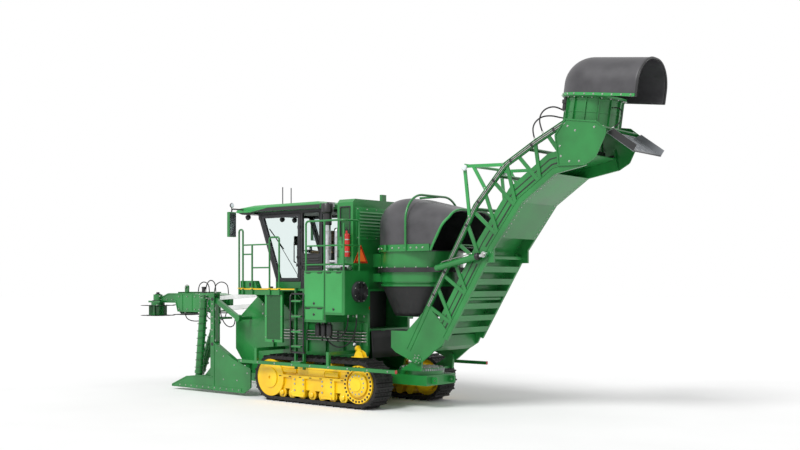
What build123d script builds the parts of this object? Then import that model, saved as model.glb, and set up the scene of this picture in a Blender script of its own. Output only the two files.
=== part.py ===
from build123d import *
from math import atan2, cos, degrees, hypot, pi, radians, sin
import os

# Tracked sugarcane harvester.
# Frame: +X forward, +Y to the driver's left, +Z up, millimetres, Z = 0 on the ground.
# X = 0 lies at the middle of the tracks while the pieces are made. At the end everything is
# moved along X so that the origin is under the middle of the whole machine.

# Clearances
SEAT = 0.3            # between pieces that stand against each other
PIN_CLEAR = 0.6       # round a pin in its eye
RUN_CLEAR = 8.0       # beside a part that turns

# Tracks
TRACK_GAUGE = 1880.0
TRACK_WIDTH = 457.0
TRACK_LENGTH = 3110.0
TRACK_HEIGHT = 880.0
GROUSER = 30.0
LINK_DEPTH = 60.0
SHOE_COUNT = 41
ROLLER_COUNT = 7
ROLLER_RADIUS = 85.0
TRACK_BEAM_END = (235.0, 115.0)  # ends of the beam from the drive's and the idler's axes
TRACK_BEAM_Z = (250.0, 690.0)
TRACK_SIDE_GAP = 30.0  # frame set in from the shoe ends

TRACK_IN = (TRACK_GAUGE - TRACK_WIDTH) / 2
TRACK_OUT = (TRACK_GAUGE + TRACK_WIDTH) / 2
FRAME_LEDGE = 45.0
FRAME_FOOT = (130.0, 320.0)    # height of a guard foot's underside, its length
DRIVE_HUB = 250.0
DRIVE_STEP = 40.0              # how far the hub stands out of the drive wheel
DRIVE_ARM = 90.0               # half the depth of the arm to the drive wheel
CARRIER_RADIUS = 60.0

# Chassis
WALL = 60.0
WALL_GAP = 101.5               # between a wall and its track
WALL_IN = TRACK_IN - WALL_GAP - WALL
WALL_TAPER = (150.0, 1000.0)   # rear foot of the wall: set forward, up to this height
WALL_REAR_X = -850.0
WALL_FRONT_X = 2700.0
BELLY_Z = 560.0
THROAT_ROOF_Z = (1350.0, 1390.0)
AXLE_X = (-700.0, 700.0)
AXLE_LENGTH = 160.0
AXLE_Z = (380.0, 600.0)
DECK_Z = (2080.0, 2120.0)
DECK_X = (120.0, 1950.0)
DECK_OVERHANG = 31.5           # deck edge outside the tracks
DECK_HALF = TRACK_OUT + DECK_OVERHANG
GUSSET_X = (440.0, 1020.0, 1580.0)
GUSSET_THICK = 30.0
GUSSET_DROP = 500.0
GRILLE_INSET = 30.0
GRILLE_THICK = 40.0
GRILLE_Y = (DECK_HALF - GRILLE_INSET - GRILLE_THICK, DECK_HALF - GRILLE_INSET)
RAIL_REACH = 145.0             # bumper rail outside the deck edge
RAIL_Y = DECK_HALF + RAIL_REACH
RAIL_Z = 730.0
RAIL_X = (-2110.0, 1800.0)
RAIL_SIZE = 60.0
RAIL_BRACKET_X = (-560.0, 1300.0)

# Upper body
TANK_X = (-880.0, 120.0)
TANK_STEP_X = -420.0
TANK_BULGE = 90.0              # tank outside the deck edge
TANK_OUT = DECK_HALF + TANK_BULGE
TANK_ROUND = 40.0
TANK_TOP = 2450.0
TANK_BOTTOM = (1660.0, 1520.0)  # rear part, front part
ENGINE_X = (-330.0, 600.0)
HOUSING_X = (-750.0, -370.0)
HOUSING_HALF = 900.0
HOUSING_TOP = 3750.0
EXHAUST_AT = (-120.0, HOUSING_HALF)
EXHAUST_TOP = 3690.0
INTAKE_AT = (-310.0, 850.0)
EXTINGUISHER_X = -650.0
SIGN_SIDE = 380.0

# Cab
CAB_X = (150.0, 1380.0)        # at the floor
CAB_LEAN = 520.0               # windscreen top ahead of its foot
CAB_HALF = 760.0
CAB_FLOOR = 2200.0
CAB_TOP = 3620.0
CAB_WALL = 50.0
PILLAR_X = 690.0               # post behind the door
ROOF_X = (80.0, 2400.0)
ROOF_HALF = 880.0
ROOF_TOP = 3750.0
GLASS = 8.0
RAIL_TUBE = 36.0

# Elevator and extractors
SLEW_X = -1620.0
ELEVATOR_IN = 500.0            # half the width between the side frames
ELEVATOR_WALL = 40.0
FOOT_X = -1930.0
FOOT_Z = 900.0
DRUM_RADIUS = 745.0
DRUM_Z = (2250.0, 2780.0)
SHELL = 20.0
HOOD_HALF = 760.0
HOOD_HEIGHT = 960.0
HOOD_REACH = 1090.0
BAND_HEIGHT = 120.0
YOKE_Z = (2420.0, 2500.0)
LIFT_PIN_X = -2440.0
LIFT_PIN_Z = 2490.0
LIFT_EYE = (-3400.0, 2700.0)   # x, z of the eye on the elevator
LIFT_Y = 620.0
BARREL_RADIUS = 55.0
ROD_RADIUS = 30.0
TAIL_AXIS = (-5090.0, 5150.0)  # x, z of the second fan's axis at its flange
TAIL_TILT = 8.0
TAIL_RADIUS = 430.0
TAIL_HALF = 500.0
TAIL_HEIGHT = 650.0
TAIL_REACH = 950.0
FLAP_AT = (-5540.0, 4540.0)    # x, z of the bin flap's hinge

# Topper
TOPPER_PIN_X = 2010.0
TOPPER_PIN_Z = (1800.0, 2030.0)
TOPPER_REACH = 1880.0
TOPPER_DROP = -130.0
TOPPER_HALF = 440.0
TOPPER_X = (3850.0, 5610.0)
TOPPER_Z = (1580.0, 1960.0)
GATHER_AT = (5450.0, 450.0)    # x, y of the gathering drums
GATHER_RADIUS = 380.0

# Crop dividers
DIVIDER_OUT = 10.0             # divider outside the track's middle line
DIVIDER_Y = TRACK_GAUGE / 2 + DIVIDER_OUT
DIVIDER_PIN = (2250.0, 620.0, 1530.0)   # x, lower z, upper z
DIVIDER_ARM = (690.0, 370.0)            # x and z run of both arms
SCROLL_RADIUS = 105.0
SCROLL_CORE = 57.0
SCROLL_PITCH = 150.0
SHOE_TIP_X = 4230.0

# Feed train
KNOCKDOWN_AT = (2440.0, 1240.0)
FIN_AT = (2130.0, 760.0)
FEED_RADIUS = 190.0
CUTTER_AT = (1720.0, 300.0)
CUTTER_RADIUS = 285.0
CUTTER_Z = 230.0

nodes = {}


def block(x, y, z):
    """Box between three (low, high) pairs."""
    spans = (x, y, z)
    middle = [(low + high) / 2 for low, high in spans]
    return Pos(*middle) * Box(*[high - low for low, high in spans])


def prism(outline, y):
    """Solid of an (x, z) outline between two y planes."""
    face = make_face(Polyline(*[(px, y[0], pz) for px, pz in outline], close=True))
    return extrude(face, amount=y[1] - y[0], dir=(0, 1, 0))


def gable(outline, x):
    """Solid of a (y, z) outline between two x planes."""
    face = make_face(Polyline(*[(x[0], py, pz) for py, pz in outline], close=True))
    return extrude(face, amount=x[1] - x[0], dir=(1, 0, 0))


def rod(start, end, radius):
    """Round bar between two points."""
    along = Vector(*end) - Vector(*start)
    place = Plane(origin=start, z_dir=along).location
    return place * Cylinder(radius, along.length, align=(Align.CENTER, Align.CENTER, Align.MIN))


def across(x, z, radius, y):
    """Round bar along Y at one (x, z)."""
    return rod((x, y[0], z), (x, y[1], z), radius)


def upright(x, y, radius, z):
    """Round bar along Z at one (x, y)."""
    return rod((x, y, z[0]), (x, y, z[1]), radius)


def beam(start, end, depth, y):
    """Straight bar of the given depth between two (x, z) points, y wide."""
    run = hypot(end[0] - start[0], end[1] - start[1])
    side = ((start[1] - end[1]) / run * depth / 2, (end[0] - start[0]) / run * depth / 2)
    corners = [
        (start[0] + side[0], start[1] + side[1]),
        (end[0] + side[0], end[1] + side[1]),
        (end[0] - side[0], end[1] - side[1]),
        (start[0] - side[0], start[1] - side[1]),
    ]
    return prism(corners, y)


def bent_tube(points, radius, bend):
    """Round tube along straight runs with rounded corners."""
    path = FilletPolyline(*points, radius=bend)
    section = Plane(origin=path @ 0, z_dir=path % 0) * Circle(radius)
    return sweep(section, path=path)


def joined(pieces):
    """One shape from pieces that run into each other."""
    first, *rest = pieces
    return first.fuse(*rest) if rest else first


def group(pieces):
    """Several separate solids as one shape."""
    solids = [solid for piece in pieces for solid in piece.solids()]
    return Compound(children=solids)


def right_side(shape):
    """The same shape on the driver's right."""
    return mirror(shape, about=Plane.XZ)


def both_sides(shape):
    """A left-hand shape and its right-hand twin."""
    return [shape, right_side(shape)]


# Tracks

TRACK_END = TRACK_HEIGHT / 2
TRACK_BASE = TRACK_END - GROUSER
TRACK_INSIDE = TRACK_BASE - LINK_DEPTH
TRACK_RUN = TRACK_LENGTH - TRACK_HEIGHT
TRACK_FRAME_Y = (TRACK_IN + TRACK_SIDE_GAP, TRACK_OUT - TRACK_SIDE_GAP / 4)
TRACK_BEAM_X = (-TRACK_RUN / 2 + TRACK_BEAM_END[0], TRACK_RUN / 2 - TRACK_BEAM_END[1])
CARRIER_X = (-0.12, 0.12)      # carrier rollers and guard feet, as shares of the track's length

# Columns: place along one shoe as a share of its pitch, height as a share of the grouser
SHOE_PROFILE = (
    (-0.50, -0.6),
    (-0.42, 0.0),
    (-0.10, 0.0),
    (-0.06, 1.0),
    (0.06, 1.0),
    (0.10, 0.0),
    (0.42, 0.0),
)


def loop_point(travel, height):
    """(x, z) on the track's round-ended loop, `height` outside its base line."""
    half = TRACK_RUN / 2
    bend = pi * TRACK_BASE
    out = TRACK_BASE + height
    if travel < TRACK_RUN:
        return travel - half, TRACK_END - out
    if travel < TRACK_RUN + bend:
        turn = (travel - TRACK_RUN) / TRACK_BASE - pi / 2
        return half + out * cos(turn), TRACK_END + out * sin(turn)
    if travel < 2 * TRACK_RUN + bend:
        return half - (travel - TRACK_RUN - bend), TRACK_END + out
    turn = (travel - 2 * TRACK_RUN - bend) / TRACK_BASE + pi / 2
    return -half + out * cos(turn), TRACK_END + out * sin(turn)


def track():
    """Left track: shoes with their grousers as one closed loop."""
    loop = 2 * TRACK_RUN + 2 * pi * TRACK_BASE
    pitch = loop / SHOE_COUNT
    outline = [
        loop_point((shoe + 0.5 + place) * pitch % loop, height * GROUSER)
        for shoe in range(SHOE_COUNT)
        for place, height in SHOE_PROFILE
    ]
    outer = prism(outline, (TRACK_IN, TRACK_OUT))
    half = TRACK_RUN / 2
    hollow_z = (TRACK_END - TRACK_INSIDE, TRACK_END + TRACK_INSIDE)
    hollow = joined([
        block((-half, half), (TRACK_IN, TRACK_OUT), hollow_z),
        across(-half, TRACK_END, TRACK_INSIDE, (TRACK_IN, TRACK_OUT)),
        across(half, TRACK_END, TRACK_INSIDE, (TRACK_IN, TRACK_OUT)),
    ])
    return outer - hollow


def track_frame():
    """Left track frame: beam with ledge, idler, drive and rollers inside the loop."""
    inner, outer = TRACK_FRAME_Y
    wheel = TRACK_INSIDE - SEAT
    half = TRACK_RUN / 2
    drive_y = (inner + 2 * FRAME_LEDGE, outer - DRIVE_STEP - FRAME_LEDGE)
    arm_y = (drive_y[0] + FRAME_LEDGE, drive_y[1] - FRAME_LEDGE)
    roller_z = TRACK_END - TRACK_INSIDE + SEAT + ROLLER_RADIUS
    carrier_z = TRACK_END + TRACK_INSIDE - SEAT - CARRIER_RADIUS
    roller_y = (inner + FRAME_LEDGE, outer - FRAME_LEDGE)
    low, high = TRACK_BEAM_X
    middle_z = sum(TRACK_BEAM_Z) / 2
    nose_z = (TRACK_END - wheel + FRAME_LEDGE, TRACK_END + wheel - FRAME_LEDGE)
    pieces = [
        block(TRACK_BEAM_X, (inner, outer - FRAME_LEDGE), TRACK_BEAM_Z),
        block(TRACK_BEAM_X, (inner, outer), (middle_z, middle_z + FRAME_LEDGE)),
        across(half, TRACK_END, wheel, (inner, outer)),
        block((high - FRAME_LEDGE, half), (inner, outer), nose_z),
        across(-half, TRACK_END, wheel, drive_y),
        across(-half, TRACK_END, DRIVE_HUB, (inner, outer)),
        block((-half, low + FRAME_LEDGE), arm_y, (middle_z - DRIVE_ARM, middle_z + DRIVE_ARM)),
    ]
    for number in range(ROLLER_COUNT):
        share = number / (ROLLER_COUNT - 1)
        x = low + 2 * ROLLER_RADIUS + share * (high - low - 4 * ROLLER_RADIUS)
        pieces.append(across(x, roller_z, ROLLER_RADIUS, roller_y))
    foot_z, foot_length = FRAME_FOOT
    for share in CARRIER_X:
        x = share * TRACK_LENGTH
        pieces.append(across(x, carrier_z, CARRIER_RADIUS, roller_y))
        foot_x = (x - foot_length / 2, x + foot_length / 2)
        pieces.append(block(foot_x, (outer - 2 * FRAME_LEDGE, outer), (foot_z, middle_z)))
    return joined(pieces)


nodes["track_left"] = track()
nodes["track_right"] = right_side(nodes["track_left"])
nodes["track_frame_left"] = track_frame()
nodes["track_frame_right"] = right_side(nodes["track_frame_left"])


# Chassis

WALL_OUT = WALL_IN + WALL
TONGUE_X = (-2050.0, AXLE_X[0] + AXLE_LENGTH / 2)
TONGUE_HALF = 420.0
TONGUE_Z = (420.0, 600.0)
BEARING_RADIUS = 400.0
BEARING_TOP = TONGUE_Z[1] + 40.0
NOSE = ((1900.0, DECK_Z[0] - SEAT), (2280.0, 1780.0), (WALL_FRONT_X, 1450.0), (WALL_FRONT_X, 900.0))
CUTTER_BOX = ((2300.0, 420.0), (1500.0, 420.0), (1100.0, BELLY_Z))
BRACKET_Y = (250.0, 290.0)
BRACKET_EYE = 45.0
PIN = 25.0
PLATE_THICK = 40.0
THROAT_END_X = 1500.0
CUTTER_LEG = 330.0             # cutter case above the discs
CUTTER_CASE = (200.0, 190.0)   # half its length, its height
DIVIDER_STUB = 35.0
DIVIDER_EYE_Y = (DIVIDER_Y - 40.0, DIVIDER_Y + 40.0)


def chassis_wall(axles):
    """Left side wall with its gussets and pin stubs, cut for the axles."""
    top = DECK_Z[0] - SEAT
    rear = [(WALL_REAR_X + WALL_TAPER[0], BELLY_Z), (WALL_REAR_X, WALL_TAPER[1]), (WALL_REAR_X, top)]
    wall = prism(rear + list(NOSE) + list(CUTTER_BOX), (WALL_IN, WALL_OUT))
    for x, z in axles:
        wall -= block((x[0] - SEAT, x[1] + SEAT), (WALL_IN, WALL_OUT), (z[0] - SEAT, z[1] + SEAT))
    pieces = [wall]
    for z in DIVIDER_PIN[1:]:
        pieces.append(across(DIVIDER_PIN[0], z, DIVIDER_STUB, (WALL_IN + WALL / 2, DIVIDER_EYE_Y[1])))
    root, reach = WALL_OUT - WALL / 2, GRILLE_Y[0] - SEAT
    for x in GUSSET_X:
        outline = [(root, top), (reach, top), (reach, top - PLATE_THICK), (root, top - GUSSET_DROP)]
        pieces.append(gable(outline, (x, x + GUSSET_THICK)))
    for x, z in (KNOCKDOWN_AT, FIN_AT):
        pieces.append(across(x, z, PIN, (WALL_IN - RUN_CLEAR, WALL_IN + WALL / 2)))
    return joined(pieces)


def main_frame():
    """Welded chassis: side walls, floor and roof of the cane's path, axles and rear tongue."""
    top = DECK_Z[0] - SEAT
    inside = (-WALL_IN + SEAT, WALL_IN - SEAT)
    head_x = (NOSE[0][0] - 2 * PLATE_THICK, NOSE[0][0])
    bracket_x = (NOSE[0][0] - PLATE_THICK, TOPPER_PIN_X + BRACKET_EYE)
    bracket_z = (TOPPER_PIN_Z[0] - BRACKET_EYE, top)
    head = [block(head_x, inside, (TOPPER_PIN_Z[0] - 2 * BRACKET_EYE, top))]
    head += both_sides(block(bracket_x, BRACKET_Y, bracket_z))
    for z in TOPPER_PIN_Z:
        head.append(across(TOPPER_PIN_X, z, PIN, (-BRACKET_Y[1], BRACKET_Y[1])))
    base = [
        block((AXLE_X[0], CUTTER_BOX[2][0]), inside, (BELLY_Z, BELLY_Z + PLATE_THICK)),
        block(TONGUE_X, (-TONGUE_HALF, TONGUE_HALF), TONGUE_Z),
        upright(SLEW_X, 0, BEARING_RADIUS, (TONGUE_Z[0], BEARING_TOP)),
    ]
    axle_half = TRACK_FRAME_Y[0] - SEAT
    axles = [((x - AXLE_LENGTH / 2, x + AXLE_LENGTH / 2), AXLE_Z) for x in AXLE_X]
    base += [block(x, (-axle_half, axle_half), z) for x, z in axles]
    half, height = CUTTER_CASE
    case_z = (CUTTER_Z + CUTTER_LEG, CUTTER_Z + CUTTER_LEG + height)
    pieces = both_sides(chassis_wall(axles)) + joined(head).solids() + joined(base).solids()
    pieces.append(block((WALL_REAR_X, THROAT_END_X), inside, THROAT_ROOF_Z))
    pieces.append(block((CUTTER_AT[0] - half, CUTTER_AT[0] + half), inside, case_z))
    return group(pieces)


def side_rails():
    """Bumper rails outside the tracks, on brackets that cross above them."""
    half = RAIL_SIZE / 2
    level = TRACK_HEIGHT + 2 * half
    rail = block(RAIL_X, (RAIL_Y - half, RAIL_Y + half), (RAIL_Z - half, RAIL_Z + half))
    pieces = [rail]
    for x in RAIL_BRACKET_X:
        span = (x - half, x + half)
        pieces.append(block(span, (WALL_OUT + SEAT, RAIL_Y + half), (level, level + 2 * half)))
        pieces.append(block(span, (RAIL_Y - half, RAIL_Y + half), (RAIL_Z - half, level + half)))
    return group(both_sides(joined(pieces)))


TOW_EYE = 22.0
TOW_PLATE = 40.0
TOW_Y = 250.0
TOW_REACH = 120.0


def tow_eyes():
    """Two lashing eyes on the end of the rear tongue."""
    middle = sum(TONGUE_Z) / 2
    x = (TONGUE_X[0] - TOW_REACH, TONGUE_X[0] - SEAT)
    y = (TOW_Y - TOW_PLATE / 2, TOW_Y + TOW_PLATE / 2)
    plate = block(x, y, (middle - TOW_REACH / 2, middle + TOW_REACH / 2))
    eye = across(TONGUE_X[0] - TOW_REACH / 2, middle, TOW_EYE, y)
    return group(both_sides(plate - eye))


nodes["main_frame"] = main_frame()
nodes["side_rails"] = side_rails()
nodes["tow_eyes"] = tow_eyes()


# Decks, ladder and handrails

LADDER_X = (135.0, 375.0)
LADDER_Y = (DECK_HALF + SEAT, DECK_HALF + 60.0)
LADDER_Z = (640.0, DECK_Z[1])
STEP_Z = (760.0, 1050.0, 1320.0, 1600.0, 1880.0)
STEP_DEPTH = 150.0
FASCIA_X = (780.0, DECK_X[1])
FRONT_RAIL_Y = DECK_HALF + SEAT + RAIL_TUBE / 2
REAR_RAIL_Y = TANK_OUT - RAIL_TUBE
BEND = 60.0
FOLD = 10.0
STILE = 30.0
# Columns: front x, rear x, top z of the deck rail's hoops
FRONT_HOOPS = ((1930.0, 1820.0, 3260.0), (1080.0, 820.0, 3090.0))
# Columns: front x, rear x, z of the tubes between them
FRONT_TIES = (
    (1820.0, 1560.0, 2960.0), (1820.0, 1560.0, 2780.0), (1560.0, 1080.0, 2960.0), (1560.0, 1080.0, 2520.0),
)
REAR_RAIL_TOP = 3350.0
REAR_RAIL_Z = (2560.0, 2900.0)


def platforms():
    """Deck plates with a folded edge."""
    pieces = [
        block(DECK_X, (-DECK_HALF, DECK_HALF), DECK_Z),
        block((WALL_REAR_X, DECK_X[0] + FOLD), (-WALL_OUT, WALL_OUT), DECK_Z),
    ]
    drop = (DECK_Z[0] - 8 * FOLD, DECK_Z[1])
    pieces += both_sides(block(FASCIA_X, (DECK_HALF - FOLD, DECK_HALF), drop))
    return joined(pieces)


def ladder():
    """Left-hand ladder of two stiles and five treads."""
    low, high = LADDER_X
    pieces = [
        block((low, low + STILE), LADDER_Y, LADDER_Z),
        block((high - STILE, high), LADDER_Y, LADDER_Z),
    ]
    for z in STEP_Z:
        pieces.append(block((low, high), (LADDER_Y[0], LADDER_Y[0] + STEP_DEPTH), (z, z + STILE)))
    return joined(pieces)


def front_rail():
    """Left deck rail: two tall hoops tied by rails."""
    radius = RAIL_TUBE / 2
    foot = DECK_Z[1] - 2 * BEND
    y = FRONT_RAIL_Y
    pieces = []
    for front, rear, top in FRONT_HOOPS:
        points = [(front, y, foot), (front, y, top), (rear, y, top), (rear, y, foot)]
        pieces.append(bent_tube(points, radius, BEND * 0.8))
    pieces.append(upright(FRONT_TIES[0][1], y, radius, (foot, FRONT_TIES[0][2])))
    for front, rear, z in FRONT_TIES:
        pieces.append(rod((front, y, z), (rear, y, z), radius * 0.8))
    return joined(pieces)


def rear_rail():
    """Left guard rail on the tank, turned in at its rear end."""
    radius = RAIL_TUBE / 2
    foot = TANK_TOP + SEAT
    front, rear = TANK_X[1] - RAIL_TUBE, TANK_X[0] + RAIL_TUBE
    inner = HOUSING_HALF - BEND
    top = REAR_RAIL_TOP
    y = REAR_RAIL_Y
    run = [(front, y, foot), (front, y, top), (rear, y, top), (rear, inner, top), (rear, inner, foot)]
    pieces = [bent_tube(run, radius, BEND)]
    pieces.append(upright((front + rear) / 2, y, radius, (foot, top)))
    pieces.append(upright(rear, y, radius, (foot, top - BEND)))
    for z in REAR_RAIL_Z:
        pieces.append(rod((front, y, z), (rear, y, z), radius * 0.8))
        pieces.append(rod((rear, y, z), (rear, inner, z), radius * 0.8))
    return joined(pieces)


nodes["platforms"] = platforms()
nodes["ladder"] = ladder()
nodes["handrails"] = group(both_sides(front_rail()) + both_sides(rear_rail()))


# Upper body

GRILLE_X = (780.0, 1250.0)
GRILLE_Z = (1110.0, DECK_Z[0] - SEAT)
GRILLE_BARS = 7
GRILLE_FRAME = 45.0
GRILLE_BAR = 14.0
HOUSING_NECK = WALL_OUT - 20.0
HOUSING_RECESS = 15.0
HOUSING_MARGIN = 70.0
HOUSING_CHAMFER = 60.0
HOUSING_SCREEN = (630.0, 140.0)  # screen's foot above the box's foot, its top below the box's top
HOUSING_FIN = (60.0, 120.0)      # length and half width, height
STACK_RADIUS = (55.0, 85.0)      # pipe, rain cap
STACK_CAP = 90.0
INTAKE_RADIUS = 45.0
INTAKE_BELOW = 450.0             # intake pipe's end below the stack's
BOTTLE_RADIUS = 60.0
BOTTLE_Z = (2700.0, 3120.0)
SIGN_FOOT = 2590.0
SIGN_EDGE = 20.0
SIGN_SHEET = 6.0
FILTER_RADIUS = 190.0
FILTER_RIM = 30.0
FILTER_DEPTH = 70.0
FILTER_AT = (900.0, 2070.0)
ENGINE_GAP = 20.0


def side_grille():
    """Left framed grille below the deck edge."""
    bar = GRILLE_BAR
    inside_x = (GRILLE_X[0] + GRILLE_FRAME, GRILLE_X[1] - GRILLE_FRAME)
    inside_z = (GRILLE_Z[0] + GRILLE_FRAME, GRILLE_Z[1] - GRILLE_FRAME)
    panel = block(GRILLE_X, GRILLE_Y, GRILLE_Z) - block(inside_x, GRILLE_Y, inside_z)
    bar_y = (GRILLE_Y[0] + bar, GRILLE_Y[1] - bar)
    pitch = (inside_z[1] - inside_z[0]) / (GRILLE_BARS + 1)
    bars = []
    for number in range(GRILLE_BARS):
        z = inside_z[0] + pitch * (number + 1)
        bars.append(block((inside_x[0] - bar, inside_x[1] + bar), bar_y, (z - bar, z + bar)))
    return joined([panel] + bars)


def tank():
    """Left stepped tank with rounded outer corners."""
    y = (WALL_OUT + SEAT, TANK_OUT)
    front = TANK_X[1] - SEAT
    outline = [
        (TANK_X[0], TANK_TOP), (TANK_X[0], TANK_BOTTOM[0]), (TANK_STEP_X, TANK_BOTTOM[0]),
        (TANK_STEP_X, TANK_BOTTOM[1]), (front, TANK_BOTTOM[1]), (front, TANK_TOP),
    ]
    body = prism(outline, y)
    outer = body.edges().filter_by(Axis.Z).filter_by_position(Axis.Y, y[1] - 1, y[1] + 1)
    return fillet(outer, TANK_ROUND)


def cooling_housing():
    """Radiator housing: neck on the deck, wide box above the tanks with sunk screens."""
    margin = HOUSING_MARGIN
    box_z = (TANK_TOP + SEAT, HOUSING_TOP)
    box = block(HOUSING_X, (-HOUSING_HALF, HOUSING_HALF), box_z)
    top = box.edges().filter_by(Axis.X).group_by(Axis.Z)[-1]
    box = chamfer(top, HOUSING_CHAMFER)
    neck = block(HOUSING_X, (-HOUSING_NECK, HOUSING_NECK), (DECK_Z[1] + SEAT, TANK_TOP + margin))
    screen = block(
        (HOUSING_X[0] + margin, HOUSING_X[1] - margin),
        (HOUSING_HALF - HOUSING_RECESS, HOUSING_HALF),
        (box_z[0] + HOUSING_SCREEN[0], HOUSING_TOP - HOUSING_SCREEN[1]),
    )
    fin_size, fin_height = HOUSING_FIN
    fin_x = (HOUSING_X[0] + fin_size / 3, HOUSING_X[0] + fin_size * 4 / 3)
    fin = block(fin_x, (-fin_size, fin_size), (HOUSING_TOP - SHELL, HOUSING_TOP + fin_height))
    return joined([box, neck, fin]) - screen - right_side(screen)


def exhaust():
    """Exhaust stack with its rain cap, and the intake pipe beside it."""
    foot = TANK_TOP + SEAT
    pipe, cap = STACK_RADIUS
    stack = joined([
        upright(*EXHAUST_AT, pipe, (foot, EXHAUST_TOP)),
        upright(*EXHAUST_AT, cap, (EXHAUST_TOP - STACK_CAP, EXHAUST_TOP)),
    ])
    return group([stack, upright(*INTAKE_AT, INTAKE_RADIUS, (foot, EXHAUST_TOP - INTAKE_BELOW))])


def extinguisher():
    """Fire bottle with a neck, against the housing's left side."""
    radius = BOTTLE_RADIUS
    y = HOUSING_HALF + SEAT + radius
    bottle = upright(EXTINGUISHER_X, y, radius, BOTTLE_Z)
    bottle = fillet(bottle.edges().group_by(Axis.Z)[-1], radius * 0.6)
    neck = upright(EXTINGUISHER_X, y, radius * 0.3, (BOTTLE_Z[1] - radius / 2, BOTTLE_Z[1] + radius))
    return joined([bottle, neck])


def slow_sign():
    """Blank triangular plate on the housing's rear face."""
    half = SIGN_SIDE / 2
    middle = HOUSING_HALF - half - SIGN_EDGE
    peak = (middle, SIGN_FOOT + SIGN_SIDE * sin(radians(60)))
    outline = [(middle - half, SIGN_FOOT), (middle + half, SIGN_FOOT), peak]
    face = HOUSING_X[0] - SEAT
    return gable(outline, (face - SIGN_SHEET, face))


def air_intake():
    """Round cooler shroud on the rear end of the left tank."""
    face = TANK_X[0] - SEAT
    ring = rod((face - FILTER_DEPTH, *FILTER_AT), (face, *FILTER_AT), FILTER_RADIUS)
    dish_x = face - FILTER_DEPTH / 2
    dish = rod((face - FILTER_DEPTH, *FILTER_AT), (dish_x, *FILTER_AT), FILTER_RADIUS - FILTER_RIM)
    hub = rod((face - FILTER_DEPTH, *FILTER_AT), (face, *FILTER_AT), FILTER_RADIUS / 3)
    return joined([ring - dish, hub])


engine_y = (-WALL_IN + ENGINE_GAP, WALL_IN - ENGINE_GAP)
engine_z = (THROAT_ROOF_Z[1] + SEAT, DECK_Z[0] - ENGINE_GAP / 2)
nodes["side_grilles"] = group(both_sides(side_grille()))
nodes["side_tanks"] = group(both_sides(tank()))
nodes["engine_block"] = block(ENGINE_X, engine_y, engine_z)
nodes["cooling_housing"] = cooling_housing()
nodes["exhaust"] = exhaust()
nodes["extinguisher"] = extinguisher()
nodes["slow_sign"] = slow_sign()
nodes["air_intake"] = air_intake()


# Cab

CAB_FOOT = DECK_Z[1] + SEAT
SILL = 100.0                   # foot of the windscreen above the floor
FRAME = 60.0                   # visible width of posts and rails
CAB_IN = CAB_HALF - CAB_WALL
WINDOW_TOP = CAB_TOP - FRAME
DOOR_GAP = 6.0
HINGE_AT = (PILLAR_X + FRAME / 2, CAB_HALF + 16.0)
HINGE_Z = (2560.0, 3260.0)
KNUCKLE = 14.0
KNUCKLE_HEIGHT = 60.0
KNUCKLE_LAP = 1.0
ROOF_EDGE = 40.0
ROOF_REAR = 80.0               # length of the rear slope
VISOR = (520.0, 60.0, 50.0)    # start and end of the visor's slope behind the tip, its drop
SEAT_X = (420.0, 900.0)
SEAT_HALF = 250.0
SEAT_RISE = (260.0, 420.0)         # cushion's underside and top above the floor
SEAT_Z = tuple(CAB_FLOOR + SEAT + rise for rise in SEAT_RISE)
SEAT_BACK = (650.0, 130.0, 110.0)  # height, depth and rake of the backrest
SEAT_BOX = (60.0, 120.0, 160.0)    # seat box behind the front edge, ahead of the rear, half width
CONSOLE = (200.0, 160.0)           # width, height above the cushion
COLUMN = ((1210.0, 40.0), (1080.0, 640.0))  # x and height above the floor of its ends
COLUMN_RADIUS = 45.0
PEDESTAL = (60.0, 70.0, 80.0)      # half length, half width, height
WHEEL = (180.0, 16.0)
SPOKE = 14.0
MIRROR_AT = (2190.0, 1180.0)
MIRROR_ARM = 14.0
MIRROR_RISE = 60.0                 # arm above the cab's top edge
MIRROR_DROP = (70.0, 540.0)
MIRROR_SIZE = (30.0, 75.0)         # half depth, half width
MIRROR_BEND = 40.0
ANTENNA_TOP = 4160.0
ANTENNA_BACK = 560.0
ANTENNA = (120.0, 10.0)            # distance from the middle, radius


def screen_x(z, inset):
    """x of the leaning windscreen at a height, `inset` behind its outer face."""
    rise = max(0.0, z - CAB_FLOOR - SILL)
    return CAB_X[1] + CAB_LEAN * rise / (CAB_TOP - CAB_FLOOR - SILL) - inset


def door_outline(gap):
    """(x, z) outline of the left door opening, drawn in by `gap`."""
    foot = CAB_FLOOR + FRAME + gap
    top = WINDOW_TOP - gap
    rear = PILLAR_X + FRAME / 2 + gap
    knee = CAB_FLOOR + SILL
    return [
        (rear, foot), (rear, top), (screen_x(top, FRAME + gap), top),
        (screen_x(knee, FRAME + gap), knee), (screen_x(foot, FRAME + gap), foot),
    ]


QUARTER_X = (CAB_X[0] + FRAME, PILLAR_X - FRAME / 2)
QUARTER_Z = (2780.0, WINDOW_TOP)
BACK_HALF = CAB_IN - 3 * FRAME
FRONT_HALF = CAB_IN - FRAME / 2
FRONT_Z = (CAB_FLOOR + SILL, WINDOW_TOP)


def knuckles(low, high):
    """Two hinge knuckles with the blocks that carry them, as (z, z) spans from the hinge height."""
    x, y = HINGE_AT
    return [upright(x, y, KNUCKLE, (z + low, z + high)) for z in HINGE_Z]


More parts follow.
